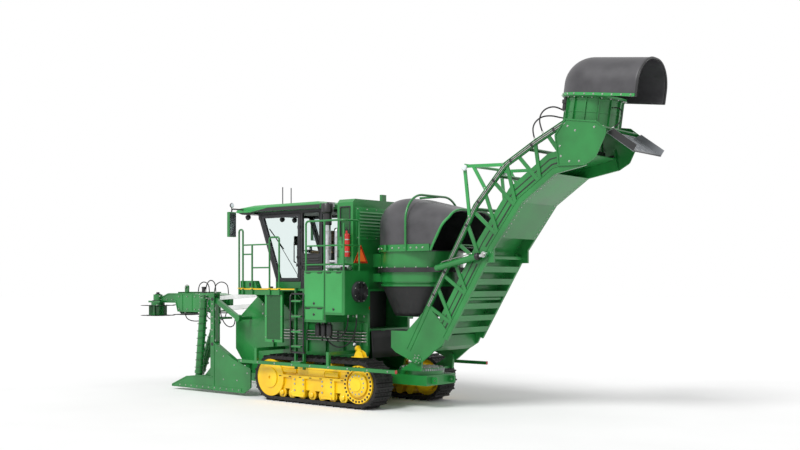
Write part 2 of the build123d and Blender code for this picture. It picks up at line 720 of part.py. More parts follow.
def cab_frame():
    """Hollow cab of floor, posts and lower panels with its windows cut."""
    outer = [
        (CAB_X[0], CAB_FOOT), (CAB_X[0], CAB_TOP), (screen_x(CAB_TOP, 0), CAB_TOP),
        (screen_x(CAB_FLOOR, 0), CAB_FLOOR + SILL), (CAB_X[1], CAB_FOOT),
    ]
    inner = [
        (CAB_X[0] + CAB_WALL, CAB_FLOOR), (CAB_X[0] + CAB_WALL, CAB_TOP),
        (screen_x(CAB_TOP, CAB_WALL), CAB_TOP),
        (screen_x(CAB_FLOOR, CAB_WALL), CAB_FLOOR + SILL), (CAB_X[1] - CAB_WALL, CAB_FLOOR),
    ]
    side = (-CAB_HALF, CAB_HALF)
    shell = prism(outer, side) - prism(inner, (-CAB_IN, CAB_IN))
    shell -= prism(door_outline(0), side)
    shell -= block(QUARTER_X, side, QUARTER_Z)
    shell -= block((CAB_X[0], CAB_X[0] + CAB_WALL), (-BACK_HALF, BACK_HALF), QUARTER_Z)
    shell -= block((CAB_X[1] - CAB_WALL, screen_x(CAB_TOP, 0)), (-FRONT_HALF, FRONT_HALF), FRONT_Z)
    carrier_x, carrier_y = (HINGE_AT[0] - FRAME, HINGE_AT[0]), (CAB_HALF - KNUCKLE_LAP, HINGE_AT[1])
    carriers = [block(carrier_x, carrier_y, (z - KNUCKLE_HEIGHT, z)) for z in HINGE_Z]
    return joined([shell] + knuckles(-KNUCKLE_HEIGHT, 0) + carriers)


def cab_door():
    """Left door: one frame with its window cut, hung at its rear edge."""
    y = (CAB_IN, CAB_HALF)
    leaf = prism(door_outline(DOOR_GAP), y) - prism(door_outline(DOOR_GAP + FRAME), y)
    carrier_x, carrier_y = (HINGE_AT[0], HINGE_AT[0] + FRAME), (CAB_HALF - KNUCKLE_LAP, HINGE_AT[1])
    carriers = [block(carrier_x, carrier_y, (z + SEAT, z + KNUCKLE_HEIGHT)) for z in HINGE_Z]
    return joined([leaf] + knuckles(SEAT, KNUCKLE_HEIGHT) + carriers)


def pane(outline, y):
    """Flat glass in a side wall, in the middle of its thickness."""
    middle = y - CAB_WALL / 2
    return prism(outline, (middle - GLASS / 2, middle + GLASS / 2))


def rectangle(x, z, gap):
    """(x, z) corners of a rectangle drawn in by `gap`."""
    rear, front, foot, top = x[0] + gap, x[1] - gap, z[0] + gap, z[1] - gap
    return [(rear, foot), (rear, top), (front, top), (front, foot)]


def cab_glass():
    """Fixed panes: windscreen, right side, rear quarters and back."""
    low, high = FRONT_Z[0] + SEAT, FRONT_Z[1] - SEAT
    depth = CAB_WALL / 2
    outline = [
        (screen_x(low, depth), low), (screen_x(high, depth), high),
        (screen_x(high, depth + GLASS), high), (screen_x(low, depth + GLASS), low),
    ]
    windscreen = prism(outline, (-FRONT_HALF + SEAT, FRONT_HALF - SEAT))
    quarter = pane(rectangle(QUARTER_X, QUARTER_Z, SEAT), CAB_HALF)
    back_x = CAB_X[0] + CAB_WALL / 2
    back = block(
        (back_x - GLASS / 2, back_x + GLASS / 2), (-BACK_HALF + SEAT, BACK_HALF - SEAT),
        (QUARTER_Z[0] + SEAT, QUARTER_Z[1] - SEAT),
    )
    right = right_side(pane(door_outline(SEAT), CAB_HALF))
    return group([windscreen, back, right] + both_sides(quarter))


def cab_roof():
    """Roof slab with a front visor that drops over the windscreen."""
    foot = CAB_TOP + SEAT
    rear, front = ROOF_X
    start, end, drop = VISOR
    outline = [
        (rear, foot), (rear, ROOF_TOP - ROOF_EDGE), (rear + ROOF_REAR, ROOF_TOP), (front - start, ROOF_TOP),
        (front - end, ROOF_TOP - drop), (front, foot + ROOF_EDGE / 2), (front - ROOF_EDGE, foot),
    ]
    slab = prism(outline, (-ROOF_HALF, ROOF_HALF))
    edges = slab.edges().filter_by(Axis.Y, reverse=True).group_by(Axis.Z)[-1]
    return chamfer(edges, ROOF_EDGE)


def cab_interior():
    """Driver's seat, side console, steering column and wheel."""
    floor = CAB_FLOOR + SEAT
    rear, front = SEAT_X
    tall, depth, rake = SEAT_BACK
    top = SEAT_Z[1] + tall
    back = [(rear - rake, top), (rear - rake + depth, top), (rear + depth, SEAT_Z[0]), (rear, SEAT_Z[0])]
    behind, ahead, half = SEAT_BOX
    console_y = (SEAT_HALF - SPOKE, SEAT_HALF + CONSOLE[0])
    seat = joined([
        block((rear + behind, front - ahead), (-half, half), (floor, SEAT_Z[0] + SPOKE)),
        block(SEAT_X, (-SEAT_HALF, SEAT_HALF), SEAT_Z),
        prism(back, (-SEAT_HALF, SEAT_HALF)),
        block((rear + behind, front), console_y, (floor, SEAT_Z[1] + CONSOLE[1])),
    ])
    (low_x, low), (high_x, high) = COLUMN
    foot, hub = (low_x, 0, floor + low), (high_x, 0, floor + high)
    length, width, height = PEDESTAL
    wheel = Plane(origin=hub, z_dir=(high_x - low_x, 0, high - low)).location * Torus(*WHEEL)
    column = joined([
        block((low_x - length, low_x + length), (-width, width), (floor, floor + height)),
        rod(foot, hub, COLUMN_RADIUS),
        wheel,
        rod((hub[0], -WHEEL[0], hub[2]), (hub[0], WHEEL[0], hub[2]), SPOKE),
    ])
    return group([seat, column])


def roof_fittings():
    """Mirrors on bent arms and two antennas."""
    x, y = MIRROR_AT
    level = CAB_TOP + MIRROR_RISE
    top, foot = level - MIRROR_DROP[0], level - MIRROR_DROP[1]
    depth, half = MIRROR_SIZE
    points = [(x, ROOF_HALF + SEAT, level), (x, y, level), (x, y, top - MIRROR_ARM)]
    glass = block((x - depth, x + depth), (y - half, y + half), (foot, top))
    side = joined([bent_tube(points, MIRROR_ARM, MIRROR_BEND), glass])
    spread, radius = ANTENNA
    mast_z = (ROOF_TOP + SEAT, ANTENNA_TOP)
    masts = [upright(ROOF_X[1] - ANTENNA_BACK, mast_y, radius, mast_z) for mast_y in (-spread, spread)]
    return group(both_sides(side) + masts)


nodes["cab_frame"] = cab_frame()
nodes["cab_door"] = cab_door()
nodes["door_glass"] = pane(door_outline(DOOR_GAP + FRAME + SEAT), CAB_HALF)
nodes["cab_glass"] = cab_glass()
nodes["cab_roof"] = cab_roof()
nodes["cab_interior"] = cab_interior()
nodes["roof_fittings"] = roof_fittings()


# Primary extractor

HOOD_FOOT = DRUM_Z[1] + SEAT
HOOD_CORNER = 480.0
FAN_BEAM_RISE = (230.0, 290.0) # beam's underside and top above the drum's foot
FAN_BEAM_Z = tuple(DRUM_Z[0] + rise for rise in FAN_BEAM_RISE)
CHEEK_Y = (300.0, 340.0)
CHEEK_GAP = 20.0
CHEEK_Z = ((DRUM_Z[0], YOKE_Z[0] - CHEEK_GAP), (YOKE_Z[1] + CHEEK_GAP, DRUM_Z[1] - CHEEK_GAP))
FUNNEL_FOOT = (1630.0, 470.0)  # height and radius of the funnel's lower rim
FAN_TIP_GAP = 25.0
FAN_BLADES = 4
FAN_PITCH = 28.0
FAN_HUB = (120.0, 220.0)       # radius, height
FAN_BLADE = (170.0, 14.0)      # width, thickness


def extractor_drum():
    """Fixed fan drum and the funnel under it, carried on the radiator housing by two pairs of cheeks."""
    bore = DRUM_RADIUS - SHELL
    pieces = [upright(SLEW_X, 0, DRUM_RADIUS, DRUM_Z)]
    cheek_x = (SLEW_X + bore - 4 * SHELL, HOUSING_X[0] - SEAT)
    for z in CHEEK_Z:
        pieces += both_sides(block(cheek_x, CHEEK_Y, z))
    foot_z, foot_radius = FUNNEL_FOOT
    tall = DRUM_Z[0] - foot_z
    funnel = Cone(foot_radius, DRUM_RADIUS - SHELL / 2, tall)
    funnel -= Cone(foot_radius - SHELL, bore - SHELL / 2, tall)
    pieces.append(Pos(SLEW_X, 0, foot_z + tall / 2) * funnel)
    shell = joined(pieces) - upright(SLEW_X, 0, bore, DRUM_Z)
    half = 2 * SHELL
    cross = block((SLEW_X - half, SLEW_X + half), (-bore - SHELL / 2, bore + SHELL / 2), FAN_BEAM_Z)
    return joined([shell, cross])


def fan(tip, hub, blade):
    """Fan on the Z axis: a hub (radius, height) and set blades (width, thickness)."""
    radius, height = hub
    pieces = [upright(0, 0, radius, (0, height))]
    root = radius * 0.8
    for number in range(FAN_BLADES):
        vane = Pos((tip + root) / 2, 0, height / 2) * Rot(FAN_PITCH, 0, 0) * Box(tip - root, *blade)
        pieces.append(Rot(0, 0, 360 * number / FAN_BLADES) * vane)
    return joined(pieces)


def arch_face(half, height, corner, x):
    """Upright arch in a plane of constant x: legs, round shoulders, flat crown."""
    crown = half - corner
    leg = height - corner
    slant = corner * sin(radians(45))
    edges = [
        Line((x, -half, 0), (x, -half, leg)),
        ThreePointArc((x, -half, leg), (x, -crown - slant, leg + slant), (x, -crown, height)),
        Line((x, -crown, height), (x, crown, height)),
        ThreePointArc((x, crown, height), (x, crown + slant, leg + slant), (x, half, leg)),
        Line((x, half, leg), (x, half, 0)),
        Line((x, half, 0), (x, -half, 0)),
    ]
    return make_face(edges)


def half_dome(half, height, corner):
    """Front half of a turned dome with the arch's outline."""
    slant = corner * sin(radians(45))
    crown = half - corner
    leg = height - corner
    edges = [
        Line((0, 0, 0), (0, -half, 0)),
        Line((0, -half, 0), (0, -half, leg)),
        ThreePointArc((0, -half, leg), (0, -crown - slant, leg + slant), (0, -crown, height)),
        Line((0, -crown, height), (0, 0, height)),
        Line((0, 0, height), (0, 0, 0)),
    ]
    return revolve(make_face(edges), axis=Axis.Z, revolution_arc=180)


def hood_body(half, height, corner, reach, end_height, end_corner):
    """Solid hood round the Z axis: dome in front, tunnel towards -X."""
    mouth = arch_face(half, end_height, end_corner, -reach)
    tunnel = loft([arch_face(half, height, corner, 0), mouth], ruled=True)
    return joined([half_dome(half, height, corner), tunnel])


def hood_shell(half, height, corner, reach, end_height, end_corner, wall, ring):
    """Thin hood, open below and at its mouth, standing on a flat base ring."""
    outer = hood_body(half, height, corner, reach, end_height, end_corner)
    inner = hood_body(half - wall, height - wall, corner - wall, reach, end_height - wall, end_corner - wall)
    base = Cylinder(half - wall / 2, wall, align=(Align.CENTER, Align.CENTER, Align.MIN))
    base -= Cylinder(ring, wall, align=(Align.CENTER, Align.CENTER, Align.MIN))
    return joined([outer - inner, base])


HOOD_MOUTH = 700.0             # height of the first hood's mouth
HOOD_SLANT = 330.0             # foot of the mouth ahead of its crown
CAGE_TUBE = 20.0
CAGE_GAP = 25.0
CAGE_X = (200.0, -260.0)       # arches ahead of and behind the fan's axis


def primary_hood():
    """Main trash hood: its mouth is cut on a slant towards the rear."""
    shell = hood_shell(
        HOOD_HALF, HOOD_HEIGHT, HOOD_CORNER, HOOD_REACH, HOOD_MOUTH, HOOD_CORNER, SHELL, DRUM_RADIUS - SHELL,
    )
    cut = [(-HOOD_REACH, 0), (-HOOD_REACH + HOOD_SLANT, 0), (-HOOD_REACH, HOOD_MOUTH * 0.8)]
    shell -= prism(cut, (-HOOD_HALF, HOOD_HALF))
    return Pos(SLEW_X, 0, HOOD_FOOT) * shell


def hood_cage():
    """Steel band round the hood's foot and two tube arches over it, tied along the top."""
    inner = HOOD_HALF + SEAT
    outer = inner + CAGE_GAP
    tail = -HOOD_REACH + HOOD_SLANT
    z = (0.0, BAND_HEIGHT)
    band = joined([upright(0, 0, outer, z), block((tail, 0), (-outer, outer), z)])
    hollow = joined([upright(0, 0, inner, z), block((tail, 0), (-inner, inner), z)])
    pieces = [band - hollow - block((-outer, tail), (-inner, inner), z)]
    side = inner + CAGE_GAP + CAGE_TUBE
    top = HOOD_HEIGHT + CAGE_GAP + CAGE_TUBE
    for x in CAGE_X:
        points = [(x, -side, CAGE_TUBE), (x, -side, top), (x, side, top), (x, side, CAGE_TUBE)]
        pieces.append(bent_tube(points, CAGE_TUBE, HOOD_CORNER))
        lug_in = (inner ** 2 - max(x, 0) ** 2) ** 0.5 + CAGE_GAP / 2
        pieces += both_sides(block((x - CAGE_TUBE, x + CAGE_TUBE), (lug_in, side), (CAGE_TUBE, BAND_HEIGHT)))
    pieces += [rod((CAGE_X[0], y, top), (CAGE_X[1], y, top), CAGE_TUBE) for y in (-CAGE_X[0], CAGE_X[0])]
    return Pos(SLEW_X, 0, HOOD_FOOT) * joined(pieces)


nodes["extractor_drum"] = extractor_drum()
primary_tip = DRUM_RADIUS - SHELL - FAN_TIP_GAP
nodes["primary_fan"] = Pos(SLEW_X, 0, FAN_BEAM_Z[1] + SEAT) * fan(primary_tip, FAN_HUB, FAN_BLADE)
nodes["primary_hood"] = primary_hood()
nodes["hood_cage"] = hood_cage()


# Elevator

# Columns: x, z of the corners of the upper and lower side chords, from the foot to the head
UPPER_CHORD = (
    (-1740.0, 1050.0), (-2180.0, 1830.0), (-3170.0, 3520.0),
    (-3750.0, 4160.0), (-4340.0, 4490.0), (-4870.0, 4750.0),
)
LOWER_CHORD = ((-2540.0, 1270.0), (-3470.0, 2800.0), (-4040.0, 3570.0), (-4660.0, 4000.0), (-5220.0, 4100.0))
# Columns: x, z of the bowl's corners, from its front lip to its rear wall
BOWL = ((-1360.0, 1360.0), (-1360.0, 1100.0), (-1460.0, 1020.0), (-2280.0, 1062.0), (-2440.0, 1135.0))
# Columns: x, z of the foot plate's corners ahead of the lower chord, top first
FOOT_TOP = ((-1340.0, 1080.0), (-1340.0, 1380.0), (-1700.0, 1380.0), UPPER_CHORD[1], (-2560.0, 1420.0))
FOOT_UNDER = ((-2480.0, 1160.0), (-2290.0, 1050.0))
FOOT_FRONT = (-1440.0, 1000.0)
FOOT_LUG = (90.0, 60.0)        # half length and depth of the plate below the foot pin
# Columns: x, z of the belly cover under the upper half
COVER_LINE = ((-3620.0, 3003.0), (-4040.0, 3570.0), (-4660.0, 4000.0))
RUNG_SHARES = (0.05, 0.11, 0.17, 0.23, 0.29, 0.35)
RUNG_SHARE = 0.014             # half a rung plate's length, as a share of the lower chord
UPPER_TIES = (0.42, 0.56, 0.7, 0.84)
LOWER_TIES = (0.2, 0.4, 0.6, 0.8)
BRACE_FROM = 0.13              # share of the upper chord below the first brace
BRACE_STEPS = (0.4, 1.0)
TROUGH_WALL = 308.0
LIFT_GUSSET = 130.0
# Columns: start x, z and end x, z of the hoop's bars on one side
HOOP_BARS = (
    ((-3060.0, 3330.0), (-2955.0, 4215.0)),
    ((-2955.0, 4195.0), (-3745.0, 4165.0)),
    ((-3140.0, 4180.0), (-3390.0, 3770.0)),
)
HOOP_DEPTH = 55.0
HOOP_SHEET = 30.0
HOOP_TUBE = 25.0
UPPER_DEPTH = 90.0
LOWER_DEPTH = 110.0
BRACE_DEPTH = 60.0
BRACE_COUNT = 7
SIDE_Y = (ELEVATOR_IN, ELEVATOR_IN + ELEVATOR_WALL)
FLOOR_RISE = 140.0
FLOOR_SHEET = 12.0
STRAND = 50.0
STRAND_Y = (400.0, 430.0)
SLAT_COUNT = 17
FOOT_PIN = 40.0
FOOT_PIN_OUT = 15.0            # pin's end outside the side frame
SLEW_CHEEK = (40.0, 420.0)     # foot of a cheek behind and ahead of the foot pin
CHEEK_SLEW_Y = (440.0, 490.0)
LIFT_PIN = 25.0
TABLE_TOP = BEARING_TOP + 80.0


def along(line, share):
    """(x, z) at a share of a line's length."""
    runs = [hypot(b[0] - a[0], b[1] - a[1]) for a, b in zip(line, line[1:])]
    left = share * sum(runs)
    for (a, b), run in zip(zip(line, line[1:]), runs):
        if left <= run or b == line[-1]:
            part = min(left / run, 1.0)
            return a[0] + (b[0] - a[0]) * part, a[1] + (b[1] - a[1]) * part
        left -= run


def offset_line(line, distance):
    """The line moved sideways, towards the elevator's open upper side."""
    moved = []
    for number, (x, z) in enumerate(line):
        before = line[max(number - 1, 0)]
        after = line[min(number + 1, len(line) - 1)]
        run = hypot(after[0] - before[0], after[1] - before[1])
        share = distance / run
        moved.append((x + (after[1] - before[1]) * share, z - (after[0] - before[0]) * share))
    return moved


def chord(line, depth, y):
    """Bars along a bent line with rounded joints."""
    pieces = [beam(a, b, depth, y) for a, b in zip(line, line[1:])]
    pieces += [across(x, z, depth / 2, y) for x, z in line[1:-1]]
    return pieces


def toward(start, end, distance):
    """Point at a distance from start on the way to end."""
    run = hypot(end[0] - start[0], end[1] - start[1])
    return start[0] + (end[0] - start[0]) / run * distance, start[1] + (end[1] - start[1]) / run * distance


def plates(line, low, high, y):
    """One plate to each run of a bent line, between two offsets from it, with mitred ends."""
    under, over = offset_line(line, low), offset_line(line, high)
    made = []
    for a, b, c, d in zip(under, under[1:], over[1:], over):
        corners = [toward(*ends, SEAT / 2) for ends in ((a, b), (b, a), (c, d), (d, c))]
        made.append(prism(corners, y))
    return made


def elevator_side():
    """Left side frame: chords, braces, trough wall and foot plate."""
    sheet_y = (SIDE_Y[0], SIDE_Y[0] + FLOOR_SHEET)
    pieces = chord(UPPER_CHORD, UPPER_DEPTH, SIDE_Y) + chord(LOWER_CHORD, LOWER_DEPTH, SIDE_Y)
    brace_y = (SIDE_Y[0] + FLOOR_SHEET / 2, SIDE_Y[1] - FLOOR_SHEET / 2)
    for number in range(BRACE_COUNT):
        low = along(LOWER_CHORD, (number + 0.5) / BRACE_COUNT)
        for step in BRACE_STEPS:
            high = along(UPPER_CHORD, BRACE_FROM + (1 - BRACE_FROM) * (number + step) / BRACE_COUNT)
            pieces.append(beam(low, high, BRACE_DEPTH, brace_y))
    wall_top = offset_line(LOWER_CHORD, TROUGH_WALL)
    pieces.append(prism(list(LOWER_CHORD) + wall_top[::-1], sheet_y))
    half, depth = FOOT_LUG
    lug = [(FOOT_X - half, FOOT_Z - depth), (FOOT_X + half, FOOT_Z - depth)]
    foot = list(FOOT_TOP) + [LOWER_CHORD[0]] + list(FOOT_UNDER) + lug + [FOOT_FRONT]
    pieces.append(prism(foot, SIDE_Y))
    x, z = LIFT_EYE
    size = LIFT_GUSSET
    gusset = [(x - size, z - size), (x - size, z + size), (x + size, z + size), (x, z - size)]
    pieces.append(prism(gusset, SIDE_Y))
    return joined(pieces) - across(FOOT_X, FOOT_Z, FOOT_PIN + PIN_CLEAR, SIDE_Y)


def elevator_trough():
    """Floor, bowl, belly cover, rung plates and cross tubes between the side frames."""
    inside = (-SIDE_Y[0] + SEAT, SIDE_Y[0] - SEAT)
    floor = offset_line(LOWER_CHORD, FLOOR_RISE)
    rear = toward(floor[0], BOWL[-1], 2 * FLOOR_SHEET)
    pieces = plates(floor, -FLOOR_SHEET / 2, FLOOR_SHEET / 2, inside)
    pieces += plates(list(BOWL) + [rear], -FLOOR_SHEET, FLOOR_SHEET, inside)
    outer = -LOWER_DEPTH / 2
    pieces += plates(COVER_LINE, outer, outer + FLOOR_SHEET, inside)
    for share in RUNG_SHARES:
        ends = [along(LOWER_CHORD, share - RUNG_SHARE), along(LOWER_CHORD, share + RUNG_SHARE)]
        pieces += plates(ends, outer, outer + FLOOR_SHEET, inside)
    for share in UPPER_TIES:
        pieces.append(across(*along(UPPER_CHORD, share), UPPER_DEPTH / 3, inside))
    for share in LOWER_TIES:
        pieces.append(across(*along(LOWER_CHORD, share), LOWER_DEPTH / 3, inside))
    return group(pieces)


def elevator_hoop():
    """Guard hoop bolted outside the upper chords, with a tube across its front corner."""
    y = (SIDE_Y[1] + SEAT, SIDE_Y[1] + SEAT + HOOP_SHEET)
    bars = [beam(start, end, HOOP_DEPTH, y) for start, end in HOOP_BARS]
    corner = HOOP_BARS[0][1]
    tube = across(*corner, HOOP_TUBE, (-y[0], y[0]))
    return joined(both_sides(joined(bars)) + [tube])


def elevator_slats():
    """Carrying run of the slat conveyor: two strands and its slats on the trough floor."""
    strand = offset_line(LOWER_CHORD, FLOOR_RISE + FLOOR_SHEET / 2 + 2 * SEAT + STRAND / 2)
    inner, outer = STRAND_Y
    pieces = []
    for y in ((inner, outer), (-outer, -inner)):
        pieces += [beam(a, b, STRAND * 0.98, y) for a, b in zip(strand, strand[1:])]
        pieces += [across(x, z, STRAND * 0.49, y) for x, z in strand[1:-1]]
    tall = offset_line(strand, 2 * STRAND)
    for number in range(SLAT_COUNT):
        share = (number + 0.5) / SLAT_COUNT
        pieces.append(beam(along(strand, share), along(tall, share), STRAND * 0.6, (-outer, outer)))
    return joined(pieces)


def slew_frame():
    """Turntable on the rear tongue with the cheeks that carry the elevator's foot pins."""
    pieces = [upright(SLEW_X, 0, BEARING_RADIUS, (BEARING_TOP + SEAT, TABLE_TOP))]
    lug = 1.5 * FOOT_PIN
    low = TABLE_TOP - PLATE_THICK
    rear, front = SLEW_CHEEK
    outline = [(FOOT_X - lug, FOOT_Z), (FOOT_X + lug, FOOT_Z), (FOOT_X + front, low), (FOOT_X - rear, low)]
    cheek = joined([prism(outline, CHEEK_SLEW_Y), across(FOOT_X, FOOT_Z, lug, CHEEK_SLEW_Y)])
    pieces += both_sides(cheek)
    pieces += both_sides(across(FOOT_X, FOOT_Z, FOOT_PIN, (CHEEK_SLEW_Y[0], SIDE_Y[1] + FOOT_PIN_OUT)))
    cross_y = (-CHEEK_SLEW_Y[1], CHEEK_SLEW_Y[1])
    pieces.append(block((FOOT_X + rear / 2, FOOT_X + front - PLATE_THICK), cross_y, (low, TABLE_TOP)))
    return joined(pieces)


YOKE_RADIUS = DRUM_RADIUS + 55.0
YOKE_ARM_Y = (SIDE_Y[0] + 20.0, SIDE_Y[0] + 60.0)
YOKE_LAP = 10.0                # arm's root inside the ring
YOKE_BOSS = (40.0, 20.0)       # radius of the arm's end boss, its axis below the pin
LIFT_PIN_OUT = 40.0            # pin's end outside the cylinder's middle
LIFT_GAP = 6.0                 # between the rod's pin and the side frame


def slew_yoke():
    """Ring that turns round the drum, with two arms for the lift cylinders' pins."""
    ring = upright(SLEW_X, 0, YOKE_RADIUS, YOKE_Z) - upright(SLEW_X, 0, DRUM_RADIUS + SEAT, YOKE_Z)
    start = SLEW_X - (DRUM_RADIUS ** 2 - YOKE_ARM_Y[0] ** 2) ** 0.5 - YOKE_LAP
    boss, below = YOKE_BOSS
    arm = joined([
        block((LIFT_PIN_X, start), YOKE_ARM_Y, YOKE_Z),
        across(LIFT_PIN_X, LIFT_PIN_Z - below, boss, YOKE_ARM_Y),
        across(LIFT_PIN_X, LIFT_PIN_Z, LIFT_PIN, (YOKE_ARM_Y[0], LIFT_Y + LIFT_PIN_OUT)),
    ])
    return joined([ring] + both_sides(arm))


LIFT_RUN = (LIFT_EYE[0] - LIFT_PIN_X, LIFT_EYE[1] - LIFT_PIN_Z)
LIFT_LENGTH = hypot(*LIFT_RUN)
LIFT_WAY = (LIFT_RUN[0] / LIFT_LENGTH, LIFT_RUN[1] / LIFT_LENGTH)
EYE_HALF = 35.0
EYE_RADIUS = 48.0
LIFT_EYE_Y = (LIFT_Y - EYE_HALF, LIFT_Y + EYE_HALF)
LIFT_GLAND = 120.0             # barrel's end short of the rod's eye
LIFT_BORE = 80.0               # start of the barrel's bore from its pin
ROD_START = 100.0


def lift_point(distance):
    """Point on the left lift cylinder's line, from its lower pin."""
    return LIFT_PIN_X + LIFT_WAY[0] * distance, LIFT_Y, LIFT_PIN_Z + LIFT_WAY[1] * distance


def lift_barrel():
    """Left cylinder barrel with its eye, bored for the rod."""
    body = joined([
        rod(lift_point(0), lift_point(LIFT_LENGTH - LIFT_GLAND), BARREL_RADIUS),
        across(LIFT_PIN_X, LIFT_PIN_Z, EYE_RADIUS, LIFT_EYE_Y),
    ])
    body -= rod(lift_point(LIFT_BORE), lift_point(LIFT_LENGTH), ROD_RADIUS + PIN_CLEAR)
    pin_y = (LIFT_EYE_Y[0] - EYE_HALF, LIFT_EYE_Y[1] + EYE_HALF)
    return body - across(LIFT_PIN_X, LIFT_PIN_Z, LIFT_PIN + PIN_CLEAR, pin_y)


def lift_rod():
    """Left cylinder rod with its eye and the pin in it, which stops short of the side frame."""
    return joined([
        rod(lift_point(ROD_START), lift_point(LIFT_LENGTH), ROD_RADIUS),
        across(*LIFT_EYE, EYE_RADIUS, LIFT_EYE_Y),
        across(*LIFT_EYE, LIFT_PIN, (SIDE_Y[1] + LIFT_GAP, LIFT_Y + LIFT_PIN_OUT)),
    ])


nodes["slew_frame"] = slew_frame()
nodes["slew_yoke"] = slew_yoke()
nodes["lift_barrels"] = group(both_sides(lift_barrel()))
nodes["lift_rods"] = group(both_sides(lift_rod()))
nodes["elevator_frame"] = group(both_sides(elevator_side()))
nodes["elevator_trough"] = elevator_trough()
nodes["elevator_hoop"] = elevator_hoop()
nodes["elevator_slats"] = elevator_slats()


# Elevator head with the second extractor

TAIL_DRUM = 480.0              # drum height below the flange
TAIL_BEAM = (-330.0, -270.0)
FLAP_HALF = 465.0
FLAP_RUN = (-440.0, -330.0)    # x and z run of the flap at rest
FLAP_SHEET = 12.0
FLAP_FOLD = (60.0, 90.0)       # folded end beyond the tip: back, up
FLAP_LIP = (120.0, 40.0)       # folded end at the hinge: back, up
HINGE_TUBE = 20.0
HEAD_SHEET = 15.0
HEAD_EDGE = 40.0
# Columns: x, z of the head plate's corners ahead of the flap
HEAD_SIDE = ((-4760.0, 4080.0), (-4700.0, 4560.0), (-4880.0, 4790.0), (-5420.0, 4700.0))
HEAD_HEEL = (180.0, 60.0)      # plate's rear corner beyond the lower chord's end: back, up
HEAD_DECK = (-520.0, 60.0, 330.0)  # rear edge, end of the wide part and front edge from the fan's axis
TAIL_CORNER = 380.0
TAIL_HUB = (80.0, 150.0)       # radius, height
TAIL_BLADE = (110.0, 12.0)     # width, thickness
TAIL_SPAR = 40.0


def on_tail(shape):
    """Places a shape made round the second fan's axis, flange at Z = 0."""
    return Pos(TAIL_AXIS[0], 0, TAIL_AXIS[1]) * Rot(0, -TAIL_TILT, 0) * shape


def elevator_head():
    """Head side plates, flat deck and the second fan's drum, with the flap's hinge bosses."""
    end_x, end_z = LOWER_CHORD[-1]
    flap_x, flap_z = FLAP_AT
    hinge_x = flap_x - HEAD_EDGE * 3 / 4
    side = list(HEAD_SIDE) + [
        (hinge_x, flap_z + HEAD_EDGE), (hinge_x, flap_z - HEAD_EDGE),
        (end_x - HEAD_HEEL[0], end_z + HEAD_HEEL[1]), (end_x, end_z - HEAD_EDGE),
    ]
    plate_y = (SIDE_Y[1] + SEAT, SIDE_Y[1] + SEAT + HEAD_SHEET)
    bore = TAIL_RADIUS - SHELL
    low = -TAIL_DRUM
    shell = upright(0, 0, TAIL_RADIUS, (low, 0)) - upright(0, 0, bore, (low, 0))
    deck_z = (low, low + SHELL)
    narrow = SIDE_Y[0] - RUN_CLEAR
    rear, wide, front = HEAD_DECK
    deck = joined([
        block((rear, wide), (-plate_y[1], plate_y[1]), deck_z),
        block((0, front), (-narrow, narrow), deck_z),
    ]) - upright(0, 0, bore, deck_z)
    rim = (-HEAD_SHEET, 0)
    flange = upright(0, 0, TAIL_HALF, rim) - upright(0, 0, bore, rim)
    cross = block((-TAIL_SPAR, TAIL_SPAR), (-bore - SHELL / 2, bore + SHELL / 2), TAIL_BEAM)
    pieces = [on_tail(piece) for piece in (shell, deck, flange, cross)]
    boss = across(*FLAP_AT, HINGE_TUBE, (FLAP_HALF + SEAT, plate_y[1]))
    pieces += both_sides(prism(side, plate_y)) + both_sides(boss)
    return joined(pieces)


def secondary_hood():
    """Second trash hood on the head's flange, open below behind the drum and at its mouth."""
    size = (TAIL_HALF, TAIL_HEIGHT, TAIL_CORNER)
    shell = hood_shell(*size, TAIL_REACH, TAIL_HEIGHT, TAIL_CORNER, SHELL, TAIL_RADIUS - SHELL)
    return on_tail(Pos(0, 0, SEAT) * shell)


def bin_flap():
    """Deflector plate with folded ends, hung behind the head."""
    x, z = FLAP_AT
    tip = (x + FLAP_RUN[0], z + FLAP_RUN[1])
    half = (-FLAP_HALF, FLAP_HALF)
    fold = [FLAP_AT, tip, (tip[0] - FLAP_FOLD[0], tip[1] + FLAP_FOLD[1]), (x - FLAP_LIP[0], z + FLAP_LIP[1])]
    ends = both_sides(prism(fold, (FLAP_HALF - FLAP_SHEET, FLAP_HALF)))
    return joined([beam(FLAP_AT, tip, FLAP_SHEET, half), across(x, z, HINGE_TUBE, half)] + ends)


nodes["elevator_head"] = elevator_head()
tail_tip = TAIL_RADIUS - SHELL - FAN_TIP_GAP
nodes["secondary_fan"] = on_tail(Pos(0, 0, TAIL_BEAM[1] + SEAT) * fan(tail_tip, TAIL_HUB, TAIL_BLADE))
nodes["secondary_hood"] = secondary_hood()
nodes["bin_flap"] = bin_flap()


# Topper

BOOM_Y = (150.0, 210.0)
BOOM_DEPTH = 85.0
BOOM_TIES = (0.3, 0.7)
BOOM_TIE = 35.0
LINK_HALF = 60.0
TOPPER_END_X = TOPPER_PIN_X + TOPPER_REACH
TOPPER_END_Z = tuple(z + TOPPER_DROP for z in TOPPER_PIN_Z)
GATHER_TOP = 1790.0
GATHER_Z = (1490.0, 1500.0, 1720.0)   # foot of the drum, lower disc, upper disc
GATHER_TEETH = 10
GATHER_TOOTH = 60.0
GATHER_EDGE = 0.12                    # half angle of a tooth's crest
GATHER_CORE = 150.0
GATHER_SHEET = 12.0
GATHER_MOTOR = (100.0, 180.0)         # radius, top above the drum
DRUM_PLATE = (200.0, 110.0, 40.0)     # behind the drums' axes, beyond them, thickness
TOPPER_NECK = 70.0                    # body behind which the boom's pins lie
